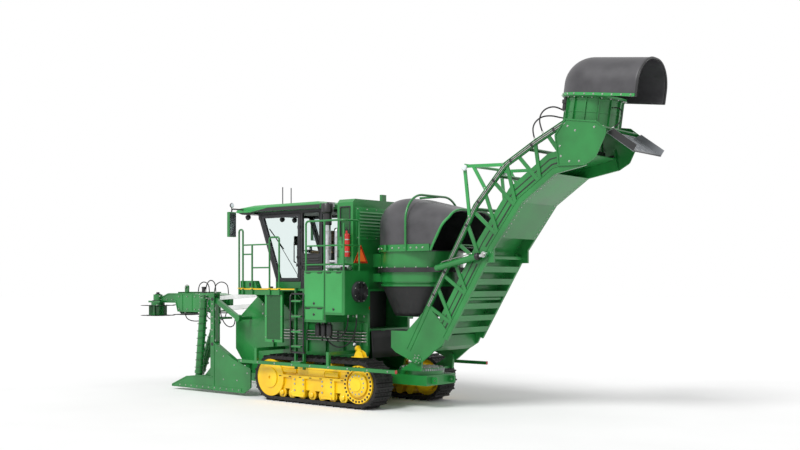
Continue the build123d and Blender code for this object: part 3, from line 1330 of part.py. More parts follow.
# Columns: x, z from the body's top of the housing's upper corners
TOPPER_CREST = ((4200.0, 40.0), (5100.0, 40.0), (5300.0, -30.0))
TOPPER_FRONT = 60.0                   # front edge below the body's top
TOPPER_BELLY = (4850.0, 4780.0)       # x of the step down to the belly
TOPPER_FOOT = 20.0
LIFT_EYE_AT = (4990.0, 2110.0)
LIFT_EYE_BORE = 25.0
LIFT_LUG = (60.0, 15.0, 50.0)         # half length, half thickness, height above the hole


def eyed_arm(start, end, depth, y):
    """Arm with a round bored eye at each (x, z) end."""
    arm = joined([beam(start, end, depth, y), across(*start, BRACKET_EYE, y), across(*end, BRACKET_EYE, y)])
    arm -= across(*start, PIN + PIN_CLEAR, y)
    return arm - across(*end, PIN + PIN_CLEAR, y)


def topper_boom():
    """Lower pair of boom arms with their cross tubes."""
    start = (TOPPER_PIN_X, TOPPER_PIN_Z[0])
    end = (TOPPER_END_X, TOPPER_END_Z[0])
    arm = eyed_arm(start, end, BOOM_DEPTH, BOOM_Y)
    ties = [across(*along((start, end), share), BOOM_TIE, (-BOOM_Y[1], BOOM_Y[1])) for share in BOOM_TIES]
    return joined(both_sides(arm) + ties)


def topper_link():
    """Upper boom arm, which keeps the head level."""
    start = (TOPPER_PIN_X, TOPPER_PIN_Z[1])
    end = (TOPPER_END_X, TOPPER_END_Z[1])
    return eyed_arm(start, end, BOOM_DEPTH, (-LINK_HALF, LINK_HALF))


def topper_head():
    """Topper housing: hinge lugs, tapered body, drum plate and lifting lug."""
    x, (foot, top) = TOPPER_X, TOPPER_Z
    body_x = TOPPER_END_X + TOPPER_NECK
    foot += TOPPER_FOOT
    crest = [(corner, top + rise) for corner, rise in TOPPER_CREST]
    front = [(x[1], top - TOPPER_FRONT), (x[1], GATHER_TOP)]
    belly = [(TOPPER_BELLY[0], GATHER_TOP), (TOPPER_BELLY[1], foot)]
    pieces = [prism([(body_x, foot), (body_x, top)] + crest + front + belly, (-TOPPER_HALF, TOPPER_HALF))]
    lug_z = (TOPPER_END_Z[0] - BRACKET_EYE, TOPPER_END_Z[1] + BRACKET_EYE)
    pieces += both_sides(block((x[0], body_x + TOPPER_FOOT), BRACKET_Y, lug_z))
    for pin_z in TOPPER_END_Z:
        pieces.append(across(TOPPER_END_X, pin_z, PIN, (-BRACKET_Y[1], BRACKET_Y[1])))
    gather_x, gather_y = GATHER_AT
    behind, beyond_axis, thick = DRUM_PLATE
    reach = gather_y + beyond_axis
    pieces.append(block((gather_x - behind, x[1] + thick), (-reach, reach), (GATHER_TOP, GATHER_TOP + thick)))
    motor, motor_top = GATHER_MOTOR
    pieces += both_sides(upright(*GATHER_AT, motor, (GATHER_TOP + thick / 2, GATHER_TOP + motor_top)))
    eye_x, eye_z = LIFT_EYE_AT
    length, half, above = LIFT_LUG
    pieces.append(block((eye_x - length, eye_x + length), (-half, half), (top, eye_z + above)))
    return joined(pieces) - across(*LIFT_EYE_AT, LIFT_EYE_BORE, (-2 * half, 2 * half))


def gather_drum():
    """Left gathering drum: core and two toothed discs."""
    x, y = GATHER_AT
    outline = []
    for number in range(2 * GATHER_TEETH):
        radius = GATHER_RADIUS if number % 2 else GATHER_RADIUS - GATHER_TOOTH
        turn = pi * number / GATHER_TEETH
        for edge in (-GATHER_EDGE, GATHER_EDGE):
            outline.append((radius * cos(turn + edge), radius * sin(turn + edge)))
    disc = extrude(make_face(Polyline(*outline, close=True)), amount=GATHER_SHEET)
    pieces = [upright(x, y, GATHER_CORE, (GATHER_Z[0], GATHER_TOP - SEAT))]
    pieces += [Pos(x, y, z) * disc for z in GATHER_Z[1:]]
    return joined(pieces)


nodes["topper_boom"] = topper_boom()
nodes["topper_link"] = topper_link()
nodes["topper_head"] = topper_head()
nodes["topper_drum_left"] = gather_drum()
nodes["topper_drum_right"] = right_side(nodes["topper_drum_left"])


# Crop dividers

DIVIDER_END_X = DIVIDER_PIN[0] + DIVIDER_ARM[0]
DIVIDER_END_Z = tuple(z + DIVIDER_ARM[1] for z in DIVIDER_PIN[1:])
PLATE_GAP = 10.0
PLATE = 30.0
OUTER_PLATE_Y = (DIVIDER_EYE_Y[1] + PLATE_GAP, DIVIDER_EYE_Y[1] + PLATE_GAP + PLATE)
INNER_PLATE_Y = (DIVIDER_EYE_Y[0] - PLATE_GAP - PLATE, DIVIDER_EYE_Y[0] - PLATE_GAP)
DIVIDER_FOOT = 60.0
SKIRT_REAR_X = 1810.0
# Columns: foot x, y, z and top x, y, z of the left scrolls' axes
OUTER_SCROLL = ((3450.0, DIVIDER_Y, 370.0), (3290.0, DIVIDER_Y, 1920.0))
INNER_SCROLL = ((3620.0, 740.0, 400.0), (3290.0, 600.0, 1450.0))
FLIGHT = 14.0
STUB_TOP = 65.0                # bearing stubs above and below the scrolls
STUB_FOOT = 130.0
POST = (50.0, 60.0)            # post plates behind and ahead of the pins
POST_HEAD = 100.0              # post's top above the upper pin
POST_TIE = 20.0                # half the height of the tie across the posts
SHOE_TOP = 340.0
# Columns: x, z of the shoe's upper corners between its tip and the post
SHOE_LINE = ((3750.0, 300.0), (3350.0, SHOE_TOP))
SHOE_TIP = 50.0                # height of the tip
SHOE_HALF = 70.0
# Columns: x, z of the skirt's upper and rear corners
SKIRT_LINE = ((SKIRT_REAR_X, 180.0), (SKIRT_REAR_X, 540.0), (2300.0, 700.0))
SKIRT_TOP = 1050.0
SKIRT_TOE_X = 2000.0
SCROLL_SEAT = 60.0             # half the size of a bearing block
INNER_BAR = (40.0, 80.0)       # inner scroll's upper bar above the scroll
INNER_FOOT_Z = (180.0, 280.0)
POST_STEP = (200.0, 150.0)     # foot of the inner plate and of the cross tie above the shoe's sole
EYE_RIM = 5.0


def divider_arm(level):
    """Left divider arm at one of the two pivot heights."""
    start = (DIVIDER_PIN[0], DIVIDER_PIN[1 + level])
    end = (DIVIDER_END_X, DIVIDER_END_Z[level])
    arm = joined([
        beam(start, end, 2 * BRACKET_EYE, DIVIDER_EYE_Y),
        across(*start, 2 * DIVIDER_STUB, DIVIDER_EYE_Y),
        across(*end, BRACKET_EYE + EYE_RIM, DIVIDER_EYE_Y),
    ])
    arm -= across(*start, DIVIDER_STUB + PIN_CLEAR, DIVIDER_EYE_Y)
    return arm - across(*end, PIN + PIN_CLEAR, DIVIDER_EYE_Y)


def beyond(end, other, length):
    """Bearing stub on a scroll's axis, from just beyond one end."""
    away = (Vector(*end) - Vector(*other)).normalized()
    start = Vector(*end) + away * SEAT
    return rod(tuple(start), tuple(start + away * length), SCROLL_CORE / 2)


def divider():
    """Left divider: pointed shoe, side skirt, post plates and scroll bearings."""
    x = DIVIDER_END_X
    sole = DIVIDER_FOOT
    rear, front = x - POST[0], x + POST[1]
    top = DIVIDER_END_Z[1] + POST_HEAD
    tip = [(SHOE_TIP_X, sole), (SHOE_TIP_X, sole + SHOE_TIP)]
    shoe = tip + list(SHOE_LINE) + [(rear, SHOE_TOP), (rear, sole)]
    skirt = list(SKIRT_LINE) + [(x, SKIRT_TOP), (x, sole), (SKIRT_TOE_X, sole)]
    post_x = (rear, front)
    tie_z = (top - POST_TIE, top + POST_TIE)
    seat = SCROLL_SEAT
    outer_x = OUTER_SCROLL[1][0]
    (foot_x, foot_y, _), (top_x, top_y, top_z) = INNER_SCROLL
    bar_z = (top_z + INNER_BAR[0], top_z + INNER_BAR[1])
    pieces = [
        prism(shoe, (DIVIDER_Y - SHOE_HALF, OUTER_PLATE_Y[1])),
        prism(skirt, OUTER_PLATE_Y),
        block(post_x, OUTER_PLATE_Y, (sole, top)),
        block(post_x, INNER_PLATE_Y, (sole + POST_STEP[0], top)),
        block(post_x, (INNER_PLATE_Y[0], OUTER_PLATE_Y[1]), tie_z),
        block((x, outer_x + seat), (DIVIDER_Y - seat, DIVIDER_Y + seat), tie_z),
        block((x, top_x + seat), (top_y - seat, top_y + seat), bar_z),
        block(post_x, (top_y - seat, INNER_PLATE_Y[1]), bar_z),
        block((foot_x - 2 * seat, foot_x + seat), (foot_y - seat, DIVIDER_Y), INNER_FOOT_Z),
        block(post_x, (INNER_PLATE_Y[0], DIVIDER_Y), (sole + POST_STEP[1], SHOE_TOP)),
    ]
    for z in DIVIDER_END_Z:
        pieces.append(across(x, z, PIN, (INNER_PLATE_Y[0], OUTER_PLATE_Y[1])))
    for foot, head in (OUTER_SCROLL, INNER_SCROLL):
        pieces.append(beyond(head, foot, STUB_TOP))
        pieces.append(beyond(foot, head, STUB_FOOT))
    return joined(pieces)


def scroll(foot, top):
    """Left gathering scroll: core tube with flights set at the helix angle."""
    axis = Vector(*top) - Vector(*foot)
    length = axis.length
    lean = degrees(atan2(SCROLL_PITCH, 2 * pi * (SCROLL_RADIUS + SCROLL_CORE) / 2))
    pieces = [upright(0, 0, SCROLL_CORE, (0.0, length))]
    count = int((length - 2 * FLIGHT) / SCROLL_PITCH)
    first = (length - (count - 1) * SCROLL_PITCH) / 2
    for number in range(count):
        flight = Rot(lean, 0, 0) * Cylinder(SCROLL_RADIUS, FLIGHT)
        pieces.append(Pos(0, 0, first + number * SCROLL_PITCH) * flight)
    return Plane(origin=foot, z_dir=axis).location * joined(pieces)


LEFT_DIVIDER = {
    "divider_arm": divider_arm(0),
    "divider_link": divider_arm(1),
    "divider": divider(),
    "outer_scroll": scroll(*OUTER_SCROLL),
    "inner_scroll": scroll(*INNER_SCROLL),
}
for piece, shape in LEFT_DIVIDER.items():
    nodes[piece + "_left"] = shape
    nodes[piece + "_right"] = right_side(shape)


# Feed rollers and base cutters

ROLLER_HALF = WALL_IN - RUN_CLEAR - SEAT
FLUTES = 6
FLUTE = 22.0
FLUTE_END = 20.0               # flutes short of the roller's ends
FEED_CORE = 0.58               # core's radius as a share of the flutes'
CUTTER_SHAFT = 70.0
CUTTER_DISC = (0.85, 20.0)     # radius as a share of the blades' reach, thickness
CUTTER_BLADE = (0.3, 90.0, 10.0)   # length as a share of the reach, width, thickness
CUTTER_BLADES = 5


def feed_roller(place):
    """Fluted roller across the throat."""
    x, z = place
    y = (-ROLLER_HALF, ROLLER_HALF)
    pieces = [across(x, z, FEED_RADIUS * FEED_CORE, y)]
    flute_y = (y[0] + FLUTE_END, y[1] - FLUTE_END)
    for number in range(FLUTES):
        turn = 2 * pi * number / FLUTES
        tip = (x + FEED_RADIUS * cos(turn), z + FEED_RADIUS * sin(turn))
        pieces.append(beam((x, z), tip, FLUTE, flute_y))
    return joined(pieces)


def base_cutter():
    """Left base cutter: leg, disc and set blades."""
    x, y = CUTTER_AT
    reach = CUTTER_RADIUS * CUTTER_DISC[0]
    share, width, thick = CUTTER_BLADE
    pieces = [
        upright(x, y, CUTTER_SHAFT, (CUTTER_Z, CUTTER_Z + CUTTER_LEG - SEAT)),
        upright(x, y, reach, (CUTTER_Z, CUTTER_Z + CUTTER_DISC[1])),
    ]
    blade = Pos(reach, 0, -thick * 0.4) * Box(CUTTER_RADIUS * share, width, thick)
    for number in range(CUTTER_BLADES):
        pieces.append(Pos(x, y, CUTTER_Z) * Rot(0, 0, 360 * number / CUTTER_BLADES) * blade)
    return joined(pieces)


nodes["knockdown_roller"] = feed_roller(KNOCKDOWN_AT)
nodes["fin_roller"] = feed_roller(FIN_AT)
nodes["base_cutter_left"] = base_cutter()
nodes["base_cutter_right"] = right_side(nodes["base_cutter_left"])


# Origin under the middle of the machine, and files

boxes = [shape.bounding_box() for shape in nodes.values()]
MIDDLE_X = (min(box.min.X for box in boxes) + max(box.max.X for box in boxes)) / 2

os.makedirs("parts", exist_ok=True)
for name, shape in nodes.items():
    export_step(Pos(-MIDDLE_X, 0, 0) * shape, os.path.join("parts", name + ".step"))
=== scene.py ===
"""Looks of a tracked sugarcane harvester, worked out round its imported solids.

Lengths are metres. Places are written from the middle of the tracks (x forward, y left, z up) and
moved by SHIFT into the frame's own coordinates when a mesh is made.
"""

from math import cos, pi, radians, sin

import bmesh
import bpy
import numpy as np
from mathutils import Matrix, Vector


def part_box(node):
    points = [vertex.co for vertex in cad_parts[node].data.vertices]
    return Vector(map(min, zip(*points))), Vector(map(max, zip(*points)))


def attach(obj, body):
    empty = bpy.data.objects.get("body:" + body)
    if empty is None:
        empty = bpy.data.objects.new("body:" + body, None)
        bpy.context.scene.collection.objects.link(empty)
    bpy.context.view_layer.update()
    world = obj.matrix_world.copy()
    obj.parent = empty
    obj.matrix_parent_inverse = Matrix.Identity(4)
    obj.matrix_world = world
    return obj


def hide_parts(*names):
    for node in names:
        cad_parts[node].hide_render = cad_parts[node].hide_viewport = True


bl_info = {
    "name": "Cane harvester looks",
    "version": (1, 0, 0),
    "blender": (4, 5, 0),
    "location": "3D View > Sidebar > Harvester",
    "description": "Builds the visible detail of a tracked cane harvester round its solids",
    "category": "Object",
}

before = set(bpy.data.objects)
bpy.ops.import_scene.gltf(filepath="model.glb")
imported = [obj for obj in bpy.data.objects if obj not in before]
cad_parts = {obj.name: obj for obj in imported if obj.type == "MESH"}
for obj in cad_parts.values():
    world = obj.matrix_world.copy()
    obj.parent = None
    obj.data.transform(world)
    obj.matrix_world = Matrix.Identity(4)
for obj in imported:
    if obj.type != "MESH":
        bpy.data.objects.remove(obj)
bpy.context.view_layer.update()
TRACK_LOW, TRACK_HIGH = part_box("track_left")
SHIFT = (TRACK_LOW.x + TRACK_HIGH.x) / 2
SIDES = (("left", 1.0), ("right", -1.0))
MM = 0.001
ORIGIN, AHEAD, ASTERN, LEFT, UP = (0, 0, 0), (1, 0, 0), (-1, 0, 0), (0, 1, 0), (0, 0, 1)


# Colour and material helpers

def srgb(code, alpha=1.0):
    """sRGB hex to linear: v/12.92 below 0.04045, else ((v+0.055)/1.055)**2.4."""
    parts = [int(code[i:i + 2], 16) / 255 for i in (1, 3, 5)]
    return tuple(v / 12.92 if v <= 0.04045 else ((v + 0.055) / 1.055) ** 2.4 for v in parts) + (alpha,)


def add(tree, kind, inputs=None, **settings):
    """One shader node. Settings are attributes; inputs are socket values or (node, output) links."""
    made = tree.nodes.new(kind)
    for key, value in settings.items():
        setattr(made, key, value)
    for key, value in (inputs or {}).items():
        if isinstance(value, tuple) and isinstance(value[0], bpy.types.Node):
            tree.links.new(value[0].outputs[value[1]], made.inputs[key])
        else:
            made.inputs[key].default_value = value
    return made


def blank(name):
    """Empty node material with its output and Object coordinates."""
    material = bpy.data.materials.new(name)
    material.use_nodes = True
    tree = material.node_tree
    tree.nodes.clear()
    output = add(tree, "ShaderNodeOutputMaterial")
    place = add(tree, "ShaderNodeTexCoord")
    return material, tree, output, place


def ramp(tree, source, stops):
    """Colour ramp with (position, hex) stops."""
    made = add(tree, "ShaderNodeValToRGB", {"Fac": source})
    band = made.color_ramp.elements
    while len(band) < len(stops):
        band.new(0.5)
    for element, (position, code) in zip(band, stops):
        element.position = position
        element.color = srgb(code)
    return made


def noise(tree, place, grain, detail=2.0):
    """Noise texture on Object coordinates, with grains about `grain` millimetres wide."""
    return add(tree, "ShaderNodeTexNoise",
               {"Vector": (place, "Object"), "Scale": 1000 / grain, "Detail": detail})


def closed(material, tree, output, inputs, kind="ShaderNodeBsdfPrincipled"):
    """Ends a material: one shader with the given inputs, joined to the output."""
    shader = add(tree, kind, inputs)
    tree.links.new(shader.outputs["BSDF"], output.inputs["Surface"])
    return material


# Finishes. Columns: light colour, dark colour, patch size in mm, roughness low and high,
# bump height in mm, bump grain in mm, metallic, coat weight
FINISHES = {
    # Two-pack gloss enamel sprayed on welded plate: smooth, faint orange peel drawn coarse enough to show
    "green_enamel": ("#1d8038", "#14692b", 700, 0.30, 0.44, 0.25, 14, 0.0, 0.35),
    # Painted light: a paler copy of the green enamel for parts whose faces look lit, the light painted into
    # the colour
    "green_enamel_painted_lit": ("#2f9a4c", "#27893f", 700, 0.28, 0.42, 0.25, 14, 0.0, 0.35),
    "yellow_enamel": ("#f6cf12", "#e5b508", 500, 0.32, 0.46, 0.30, 14, 0.0, 0.30),
    "black_enamel": ("#1b1b1d", "#111112", 400, 0.38, 0.52, 0.20, 12, 0.0, 0.20),
    "grey_enamel": ("#8d9094", "#7a7d81", 400, 0.42, 0.55, 0.20, 12, 0.0, 0.10),
    "red_enamel": ("#d8261c", "#bd1b14", 200, 0.25, 0.36, 0.10, 10, 0.0, 0.50),
    "white_enamel": ("#e6e7e6", "#d5d7d6", 300, 0.35, 0.48, 0.10, 10, 0.0, 0.20),
    # Rotationally moulded polyethylene: dull, with a fine leathery grain
    "hood_polyethylene": ("#48474a", "#3a393c", 300, 0.38, 0.50, 0.45, 9, 0.0, 0.0),
    # Cast track shoes: dark scale, polished a little where they rub
    "track_steel": ("#2b2a2a", "#1a1919", 90, 0.48, 0.70, 1.20, 22, 0.35, 0.0),
    # Bright worn steel of knives and fan blades
    "worn_steel": ("#a3a5a8", "#7e8083", 60, 0.28, 0.46, 0.15, 6, 1.0, 0.0),
    "zinc_plate": ("#c2c3bf", "#a6a7a3", 30, 0.30, 0.42, 0.08, 5, 1.0, 0.0),
    "hard_chrome": ("#dfe1e4", "#d0d2d6", 120, 0.08, 0.14, 0.02, 5, 1.0, 0.0),
    "aluminised_pipe": ("#d6d8da", "#b9bcc0", 80, 0.26, 0.40, 0.10, 6, 1.0, 0.0),
    # Hose and seal rubber: matt black with a bloom
    "hose_rubber": ("#242425", "#18181a", 60, 0.55, 0.72, 0.20, 5, 0.0, 0.0),
    "cab_plastic": ("#2b2b2f", "#212125", 120, 0.48, 0.62, 0.25, 5, 0.0, 0.0),
    "headliner": ("#8f8f8c", "#7f7f7c", 40, 0.85, 0.95, 0.30, 4, 0.0, 0.0),
    "red_lens": ("#c3160f", "#a8100b", 60, 0.16, 0.24, 0.30, 8, 0.0, 0.30),
    "clear_lens": ("#e9eef0", "#d5dcdf", 60, 0.06, 0.12, 0.30, 10, 0.0, 0.50),
    # This near-black finish is also used as painted shade in slots and recesses
    "oiled_grip_and_hole_shade": ("#17181a", "#0e0f10", 30, 0.55, 0.75, 0.60, 7, 0.0, 0.0),
}
MATERIALS = {}
# Sizes in mm of dust patches, mirror ripples, floor mottle, threads, reflector cells and punched holes' pitch
DUST, RIPPLE, MOTTLE, WEAVE, CELLS, HOLES = 160, 200, 2500, 9, 14, 22


def coated(name):
    """Paint, plastic or metal: patches mix the two colours and move roughness, grain moves bump."""
    light, dark, patch, low, high, height, grain, metallic, coat = FINISHES[name]
    material, tree, output, place = blank(name)
    patches = noise(tree, place, patch, 4.0)
    colour = ramp(tree, (patches, "Fac"), ((0.35, dark), (0.65, light)))
    fine = noise(tree, place, grain)
    rough = add(tree, "ShaderNodeMapRange", {
        "Value": (patches, "Fac"), "From Min": 0.3, "From Max": 0.7, "To Min": low, "To Max": high,
    })
    bump = add(tree, "ShaderNodeBump", {"Height": (fine, "Fac"), "Strength": 0.35, "Distance": height * MM})
    return closed(material, tree, output, {
        "Base Color": (colour, "Color"), "Roughness": (rough, "Result"), "Normal": (bump, "Normal"),
        "Metallic": metallic, "Coat Weight": coat, "Coat Roughness": 0.12,
    })


def window_glass():
    """Toughened float glass with a faint green tint and a thin film of dust."""
    material, tree, output, place = blank("window_glass")
    dust = noise(tree, place, DUST, 5.0)
    rough = add(tree, "ShaderNodeMapRange", {"Value": (dust, "Fac"), "To Min": 0.01, "To Max": 0.07})
    return closed(material, tree, output,
                  {"Base Color": srgb("#f2f8f7"), "Roughness": (rough, "Result"), "IOR": 1.02,
                   "Transmission Weight": 1.0, "Specular IOR Level": 0.5, })


def seat_weave():
    """Woven seat cloth: crossed bands a few millimetres wide, drawn at 9 mm so that they show."""
    material, tree, output, place = blank("seat_weave")
    thread = 1000 / WEAVE / 3
    bands = [
        add(tree, "ShaderNodeTexWave", {"Vector": (place, "Object"), "Scale": thread, "Distortion": 0.6},
            bands_direction=axis)
        for axis in ("X", "Z")
    ]
    cross = add(tree, "ShaderNodeMath", {0: (bands[0], "Fac"), 1: (bands[1], "Fac")}, operation="MULTIPLY")
    colour = ramp(tree, (cross, "Value"), ((0.0, "#6d5a41"), (1.0, "#a58c66")))
    bump = add(tree, "ShaderNodeBump", {"Height": (cross, "Value"), "Strength": 0.5, "Distance": 1.2 * MM})
    return closed(material, tree, output, {
        "Base Color": (colour, "Color"), "Roughness": 0.85, "Normal": (bump, "Normal"), "Sheen Weight": 0.3,
    })


def reflective_sheet_painted_glow():
    """Retroreflective sheet: honeycomb cells of about 4 mm, drawn at 14 mm, with a painted orange glow from
    emission that lifts it out of shade.
    """
    material, tree, output, place = blank("reflective_sheet_painted_glow")
    cells = add(tree, "ShaderNodeTexVoronoi", {"Vector": (place, "Object"), "Scale": 1000 / CELLS},
                feature="DISTANCE_TO_EDGE")
    colour = ramp(tree, (cells, "Distance"), ((0.0, "#f0561c"), (0.12, "#ff7433")))
    # Painted glow: the orange emission makes the sign shine though it is no lamp, standing in for light on
    # its shaded rear face
    return closed(material, tree, output, {
        "Base Color": (colour, "Color"), "Roughness": 0.28, "Coat Weight": 0.6,
        "Emission Color": (colour, "Color"), "Emission Strength": 0.18,
    })


def punched_screen():
    """Punched radiator screen: round holes on a square pitch, drawn at 22 mm so that they show, painted
    near-black as the shade behind the screen.
    """
    material, tree, output, place = blank("punched_screen")
    scaled = add(tree, "ShaderNodeVectorMath", {0: (place, "Object"), 1: (pi / (HOLES * MM),) * 3},
                 operation="MULTIPLY")
    apart = add(tree, "ShaderNodeSeparateXYZ", {"Vector": (scaled, "Vector")})
    waves = [add(tree, "ShaderNodeMath", {0: (apart, axis)}, operation="SINE") for axis in "XZ"]
    squares = [add(tree, "ShaderNodeMath", {0: (w, "Value"), 1: (w, "Value")}, operation="MULTIPLY")
               for w in waves]
    holes = add(tree, "ShaderNodeMath", {0: (squares[0], "Value"), 1: (squares[1], "Value")},
                operation="MULTIPLY")
    # Painted shade: the holes take a near-black colour that stands for the shadow behind the screen
    colour = ramp(tree, (holes, "Value"), ((0.38, "#155a27"), (0.46, "#0a0f0b")))
    bump = add(tree, "ShaderNodeBump", {"Height": (holes, "Value"), "Strength": 0.6, "Distance": 2 * MM},
               invert=True)
    return closed(material, tree, output, {
        "Base Color": (colour, "Color"), "Roughness": 0.5, "Normal": (bump, "Normal"),
    })


def silvered_mirror():
    """Silvered mirror glass: clear reflection with faint ripples."""
    material, tree, output, place = blank("silvered_mirror")
    ripple = noise(tree, place, RIPPLE)
    bump = add(tree, "ShaderNodeBump", {"Height": (ripple, "Fac"), "Strength": 0.05, "Distance": 0.4 * MM})
    return closed(material, tree, output, {
        "Base Color": srgb("#cfd6da"), "Metallic": 1.0, "Roughness": 0.16, "Normal": (bump, "Normal"),
    })


SPECIAL = {
    "window_glass": window_glass, "seat_weave": seat_weave, "reflective_sheet_painted_glow": reflective_sheet_painted_glow,
    "punched_screen": punched_screen, "silvered_mirror": silvered_mirror,
}


def finish(name):
    """The named material, made once."""
    if name not in MATERIALS:
        MATERIALS[name] = SPECIAL[name]() if name in SPECIAL else coated(name)
    return MATERIALS[name]


# Surface helpers. Each gives (points, faces), with the formula in its docstring.

def grid(points, wrap_u=False, wrap_v=False, caps=False):
    """Quads over an (n, m, 3) array: cell (i, j) joins points i, i+1 and j, j+1; wrapping joins the ends."""
    n, m = points.shape[:2]
    index = np.arange(n * m).reshape(n, m)
    cells = np.vstack([index, index[:1]]) if wrap_u else index
    cells = np.hstack([cells, cells[:, :1]]) if wrap_v else cells
    quads = np.stack([cells[:-1, :-1], cells[1:, :-1], cells[1:, 1:], cells[:-1, 1:]], -1).reshape(-1,
                                                                                                   4).tolist()
    if caps:
        quads += [index[0, ::-1].tolist(), index[-1].tolist()]
    return points.reshape(-1, 3), quads


def across_of(path):
    """Two unit vectors square to a path at each point, turned from its flattest direction."""
    path = np.asarray(path, float)
    flat = np.linalg.svd(path - path.mean(0))[2][-1]
    along = np.gradient(path, axis=0)
    along /= np.linalg.norm(along, axis=1, keepdims=True)
    one = np.cross(along, flat)
    one /= np.linalg.norm(one, axis=1, keepdims=True)
    return one, np.cross(along, one)


def full_turn(count):
    """Angles that part a whole turn evenly, from 0."""
    return np.linspace(0, 2 * pi, count, endpoint=False)


def tube(path, radius, sides=12):
    """Circle of the given radius carried along a path: p + r(cos a n1 + sin a n2)."""
    path = np.asarray(path, float)
    one, two = across_of(path)
    turn = full_turn(sides)
    ring = np.cos(turn)[None, :, None] * one[:, None] + np.sin(turn)[None, :, None] * two[:, None]
    size = np.broadcast_to(np.asarray(radius, float), (len(path),))
    return grid(path[:, None] + size[:, None, None] * ring, wrap_v=True, caps=True)


def rounded(points, bend, steps=6):
    """Path with rounded corners: a quadratic curve between points `bend` before and after each corner."""
    points = np.asarray(points, float)
    rows = [points[:1]]
    share = np.linspace(0, 1, steps)[:, None]
    for before, corner, after in zip(points, points[1:], points[2:]):
        start = corner + (before - corner) / np.linalg.norm(before - corner) * bend
        end = corner + (after - corner) / np.linalg.norm(after - corner) * bend
        rows.append((1 - share) ** 2 * start + 2 * share * (1 - share) * corner + share ** 2 * end)
    return np.vstack(rows + [points[-1:]])


def basis(axis):
    """Three square unit vectors, the last along `axis`."""
    third = np.asarray(axis, float)
    third = third / np.linalg.norm(third)
    spare = np.array((0, 0, 1.0)) if abs(third[2]) < 0.9 else np.array((1.0, 0, 0))
    first = np.cross(spare, third)
    first /= np.linalg.norm(first)
    return first, np.cross(third, first), third


def lathe(profile, origin, axis=UP, sides=32):
    """Closed (radius, height) profile turned about an axis: o + h a + r(cos t e1 + sin t e2)."""
    first, second, third = basis(axis)
    profile = np.asarray(profile, float)
    turn = full_turn(sides)
    spoke = np.cos(turn)[:, None] * first + np.sin(turn)[:, None] * second
    points = np.asarray(origin) + profile[None, :, 1, None] * third + profile[None, :, 0, None] * spoke[:,
                                                                                                        None]
    return grid(points, wrap_u=True, wrap_v=True)


def disc(radius, low, high, origin, axis=UP, sides=32, edge=0.0):
    """Round slab with a broken edge, as a lathe profile that almost meets the axis."""
    near = radius * 0.02
    return lathe([(near, low), (radius - edge, low), (radius, low + edge), (radius, high - edge),
                  (radius - edge, high), (near, high)], origin, axis, sides)


def ring(outer, inner, low, high, origin, axis=UP, sides=32):
    """Flat ring: a rectangle in (radius, height) turned about an axis."""
    return lathe([(inner, low), (outer, low), (outer, high), (inner, high)], origin, axis, sides)


PLANES = {"xz": (0, 2, 1), "yz": (1, 2, 0), "xy": (0, 1, 2)}


def slab(outline, plane, low, high):
    """Flat outline in a plane, carried straight from `low` to `high` along the third axis."""
    first, second, third = PLANES[plane]
    outline = np.asarray(outline, float)
    points = np.zeros((2, len(outline), 3))
    points[:, :, first] = outline[:, 0]
    points[:, :, second] = outline[:, 1]
    points[0, :, third] = low
    points[1, :, third] = high
    return grid(points, wrap_v=True, caps=True)


def block(x, y, z):
    """Six-sided block between three (low, high) pairs."""
    return slab([(x[0], z[0]), (x[1], z[0]), (x[1], z[1]), (x[0], z[1])], "xz", *y)


def bar(start, end, width, depth, up=UP):
    """Rectangular bar between two points, `depth` along `up`."""
    start, end = np.asarray(start, float), np.asarray(end, float)
    along = (end - start) / np.linalg.norm(end - start)
    side = np.cross(along, up)
    side /= np.linalg.norm(side)
    rise = np.cross(side, along)
    corner = np.array([(-1, -1), (1, -1), (1, 1), (-1, 1)]) / 2
    section = corner[:, :1] * width * side + corner[:, 1:] * depth * rise
    return grid(np.stack([start + section, end + section]), wrap_v=True, caps=True)


def copies(shape, places):
    """The same shape at many places: every point plus every place."""
    points, faces = shape
    places = np.asarray(places, float).reshape(-1, 3)
    every = (places[:, None] + points[None]).reshape(-1, 3)
    many = [[i + k * len(points) for i in face] for k in range(len(places)) for face in faces]
    return every, many


def bolts(places, axis, size=0.024, height=0.012, washer=True):
    """Hexagon heads with a chamfered top on round washers, at many places along one axis."""
    flats = lathe([(0.001, 0.003), (size / 2, 0.003), (size / 2, height * 0.8), (size * 0.42, height),
                   (0.001, height)], ORIGIN, axis, 6)
    shapes = [flats]
    if washer:
        shapes.append(ring(size * 0.72, 0.002, 0.0, 0.003, ORIGIN, axis, 10))
    return copies(weld(*shapes), places)


def weld(*shapes):
    """Several shapes as one list of points and faces."""
    points, faces, start = [], [], 0
    for one, loops in shapes:
        points.append(one)
        faces += [[i + start for i in loop] for loop in loops]
        start += len(one)
    return np.vstack(points), faces


def mirrored(shape):
    """The same shape on the other side: y becomes -y, loops turned round."""
    points, faces = shape
    return points * (1, -1, 1), [loop[::-1] for loop in faces]


def both(*shapes):
    """Left-hand shapes and their right-hand twins."""
    left = weld(*shapes)
    return weld(left, mirrored(left))


def sided(shape, sign):
    """A left-hand shape, or its right-hand twin where the sign is negative."""
    return shape if sign > 0 else mirrored(shape)


def around(middle, radius, turns, plane="xy"):
    """Points of a circle in a plane: m + r(cos t, sin t)."""
    first, second, _ = PLANES[plane]
    places = np.tile(np.asarray(middle, float), (len(turns), 1))
    places[:, first] += radius * np.cos(turns)
    places[:, second] += radius * np.sin(turns)
    return places


def standing(middle, radius, turns, z, width, depth):
    """Upright bars on a circle about an (x, y) point, from z[0] to z[1], `depth` outwards."""
    x, y = middle
    feet, tops = (around((x, y, level), radius, turns) for level in z)
    return weld(*[bar(foot, top, width, depth, (cos(t), sin(t), 0))
                  for foot, top, t in zip(feet, tops, turns)])


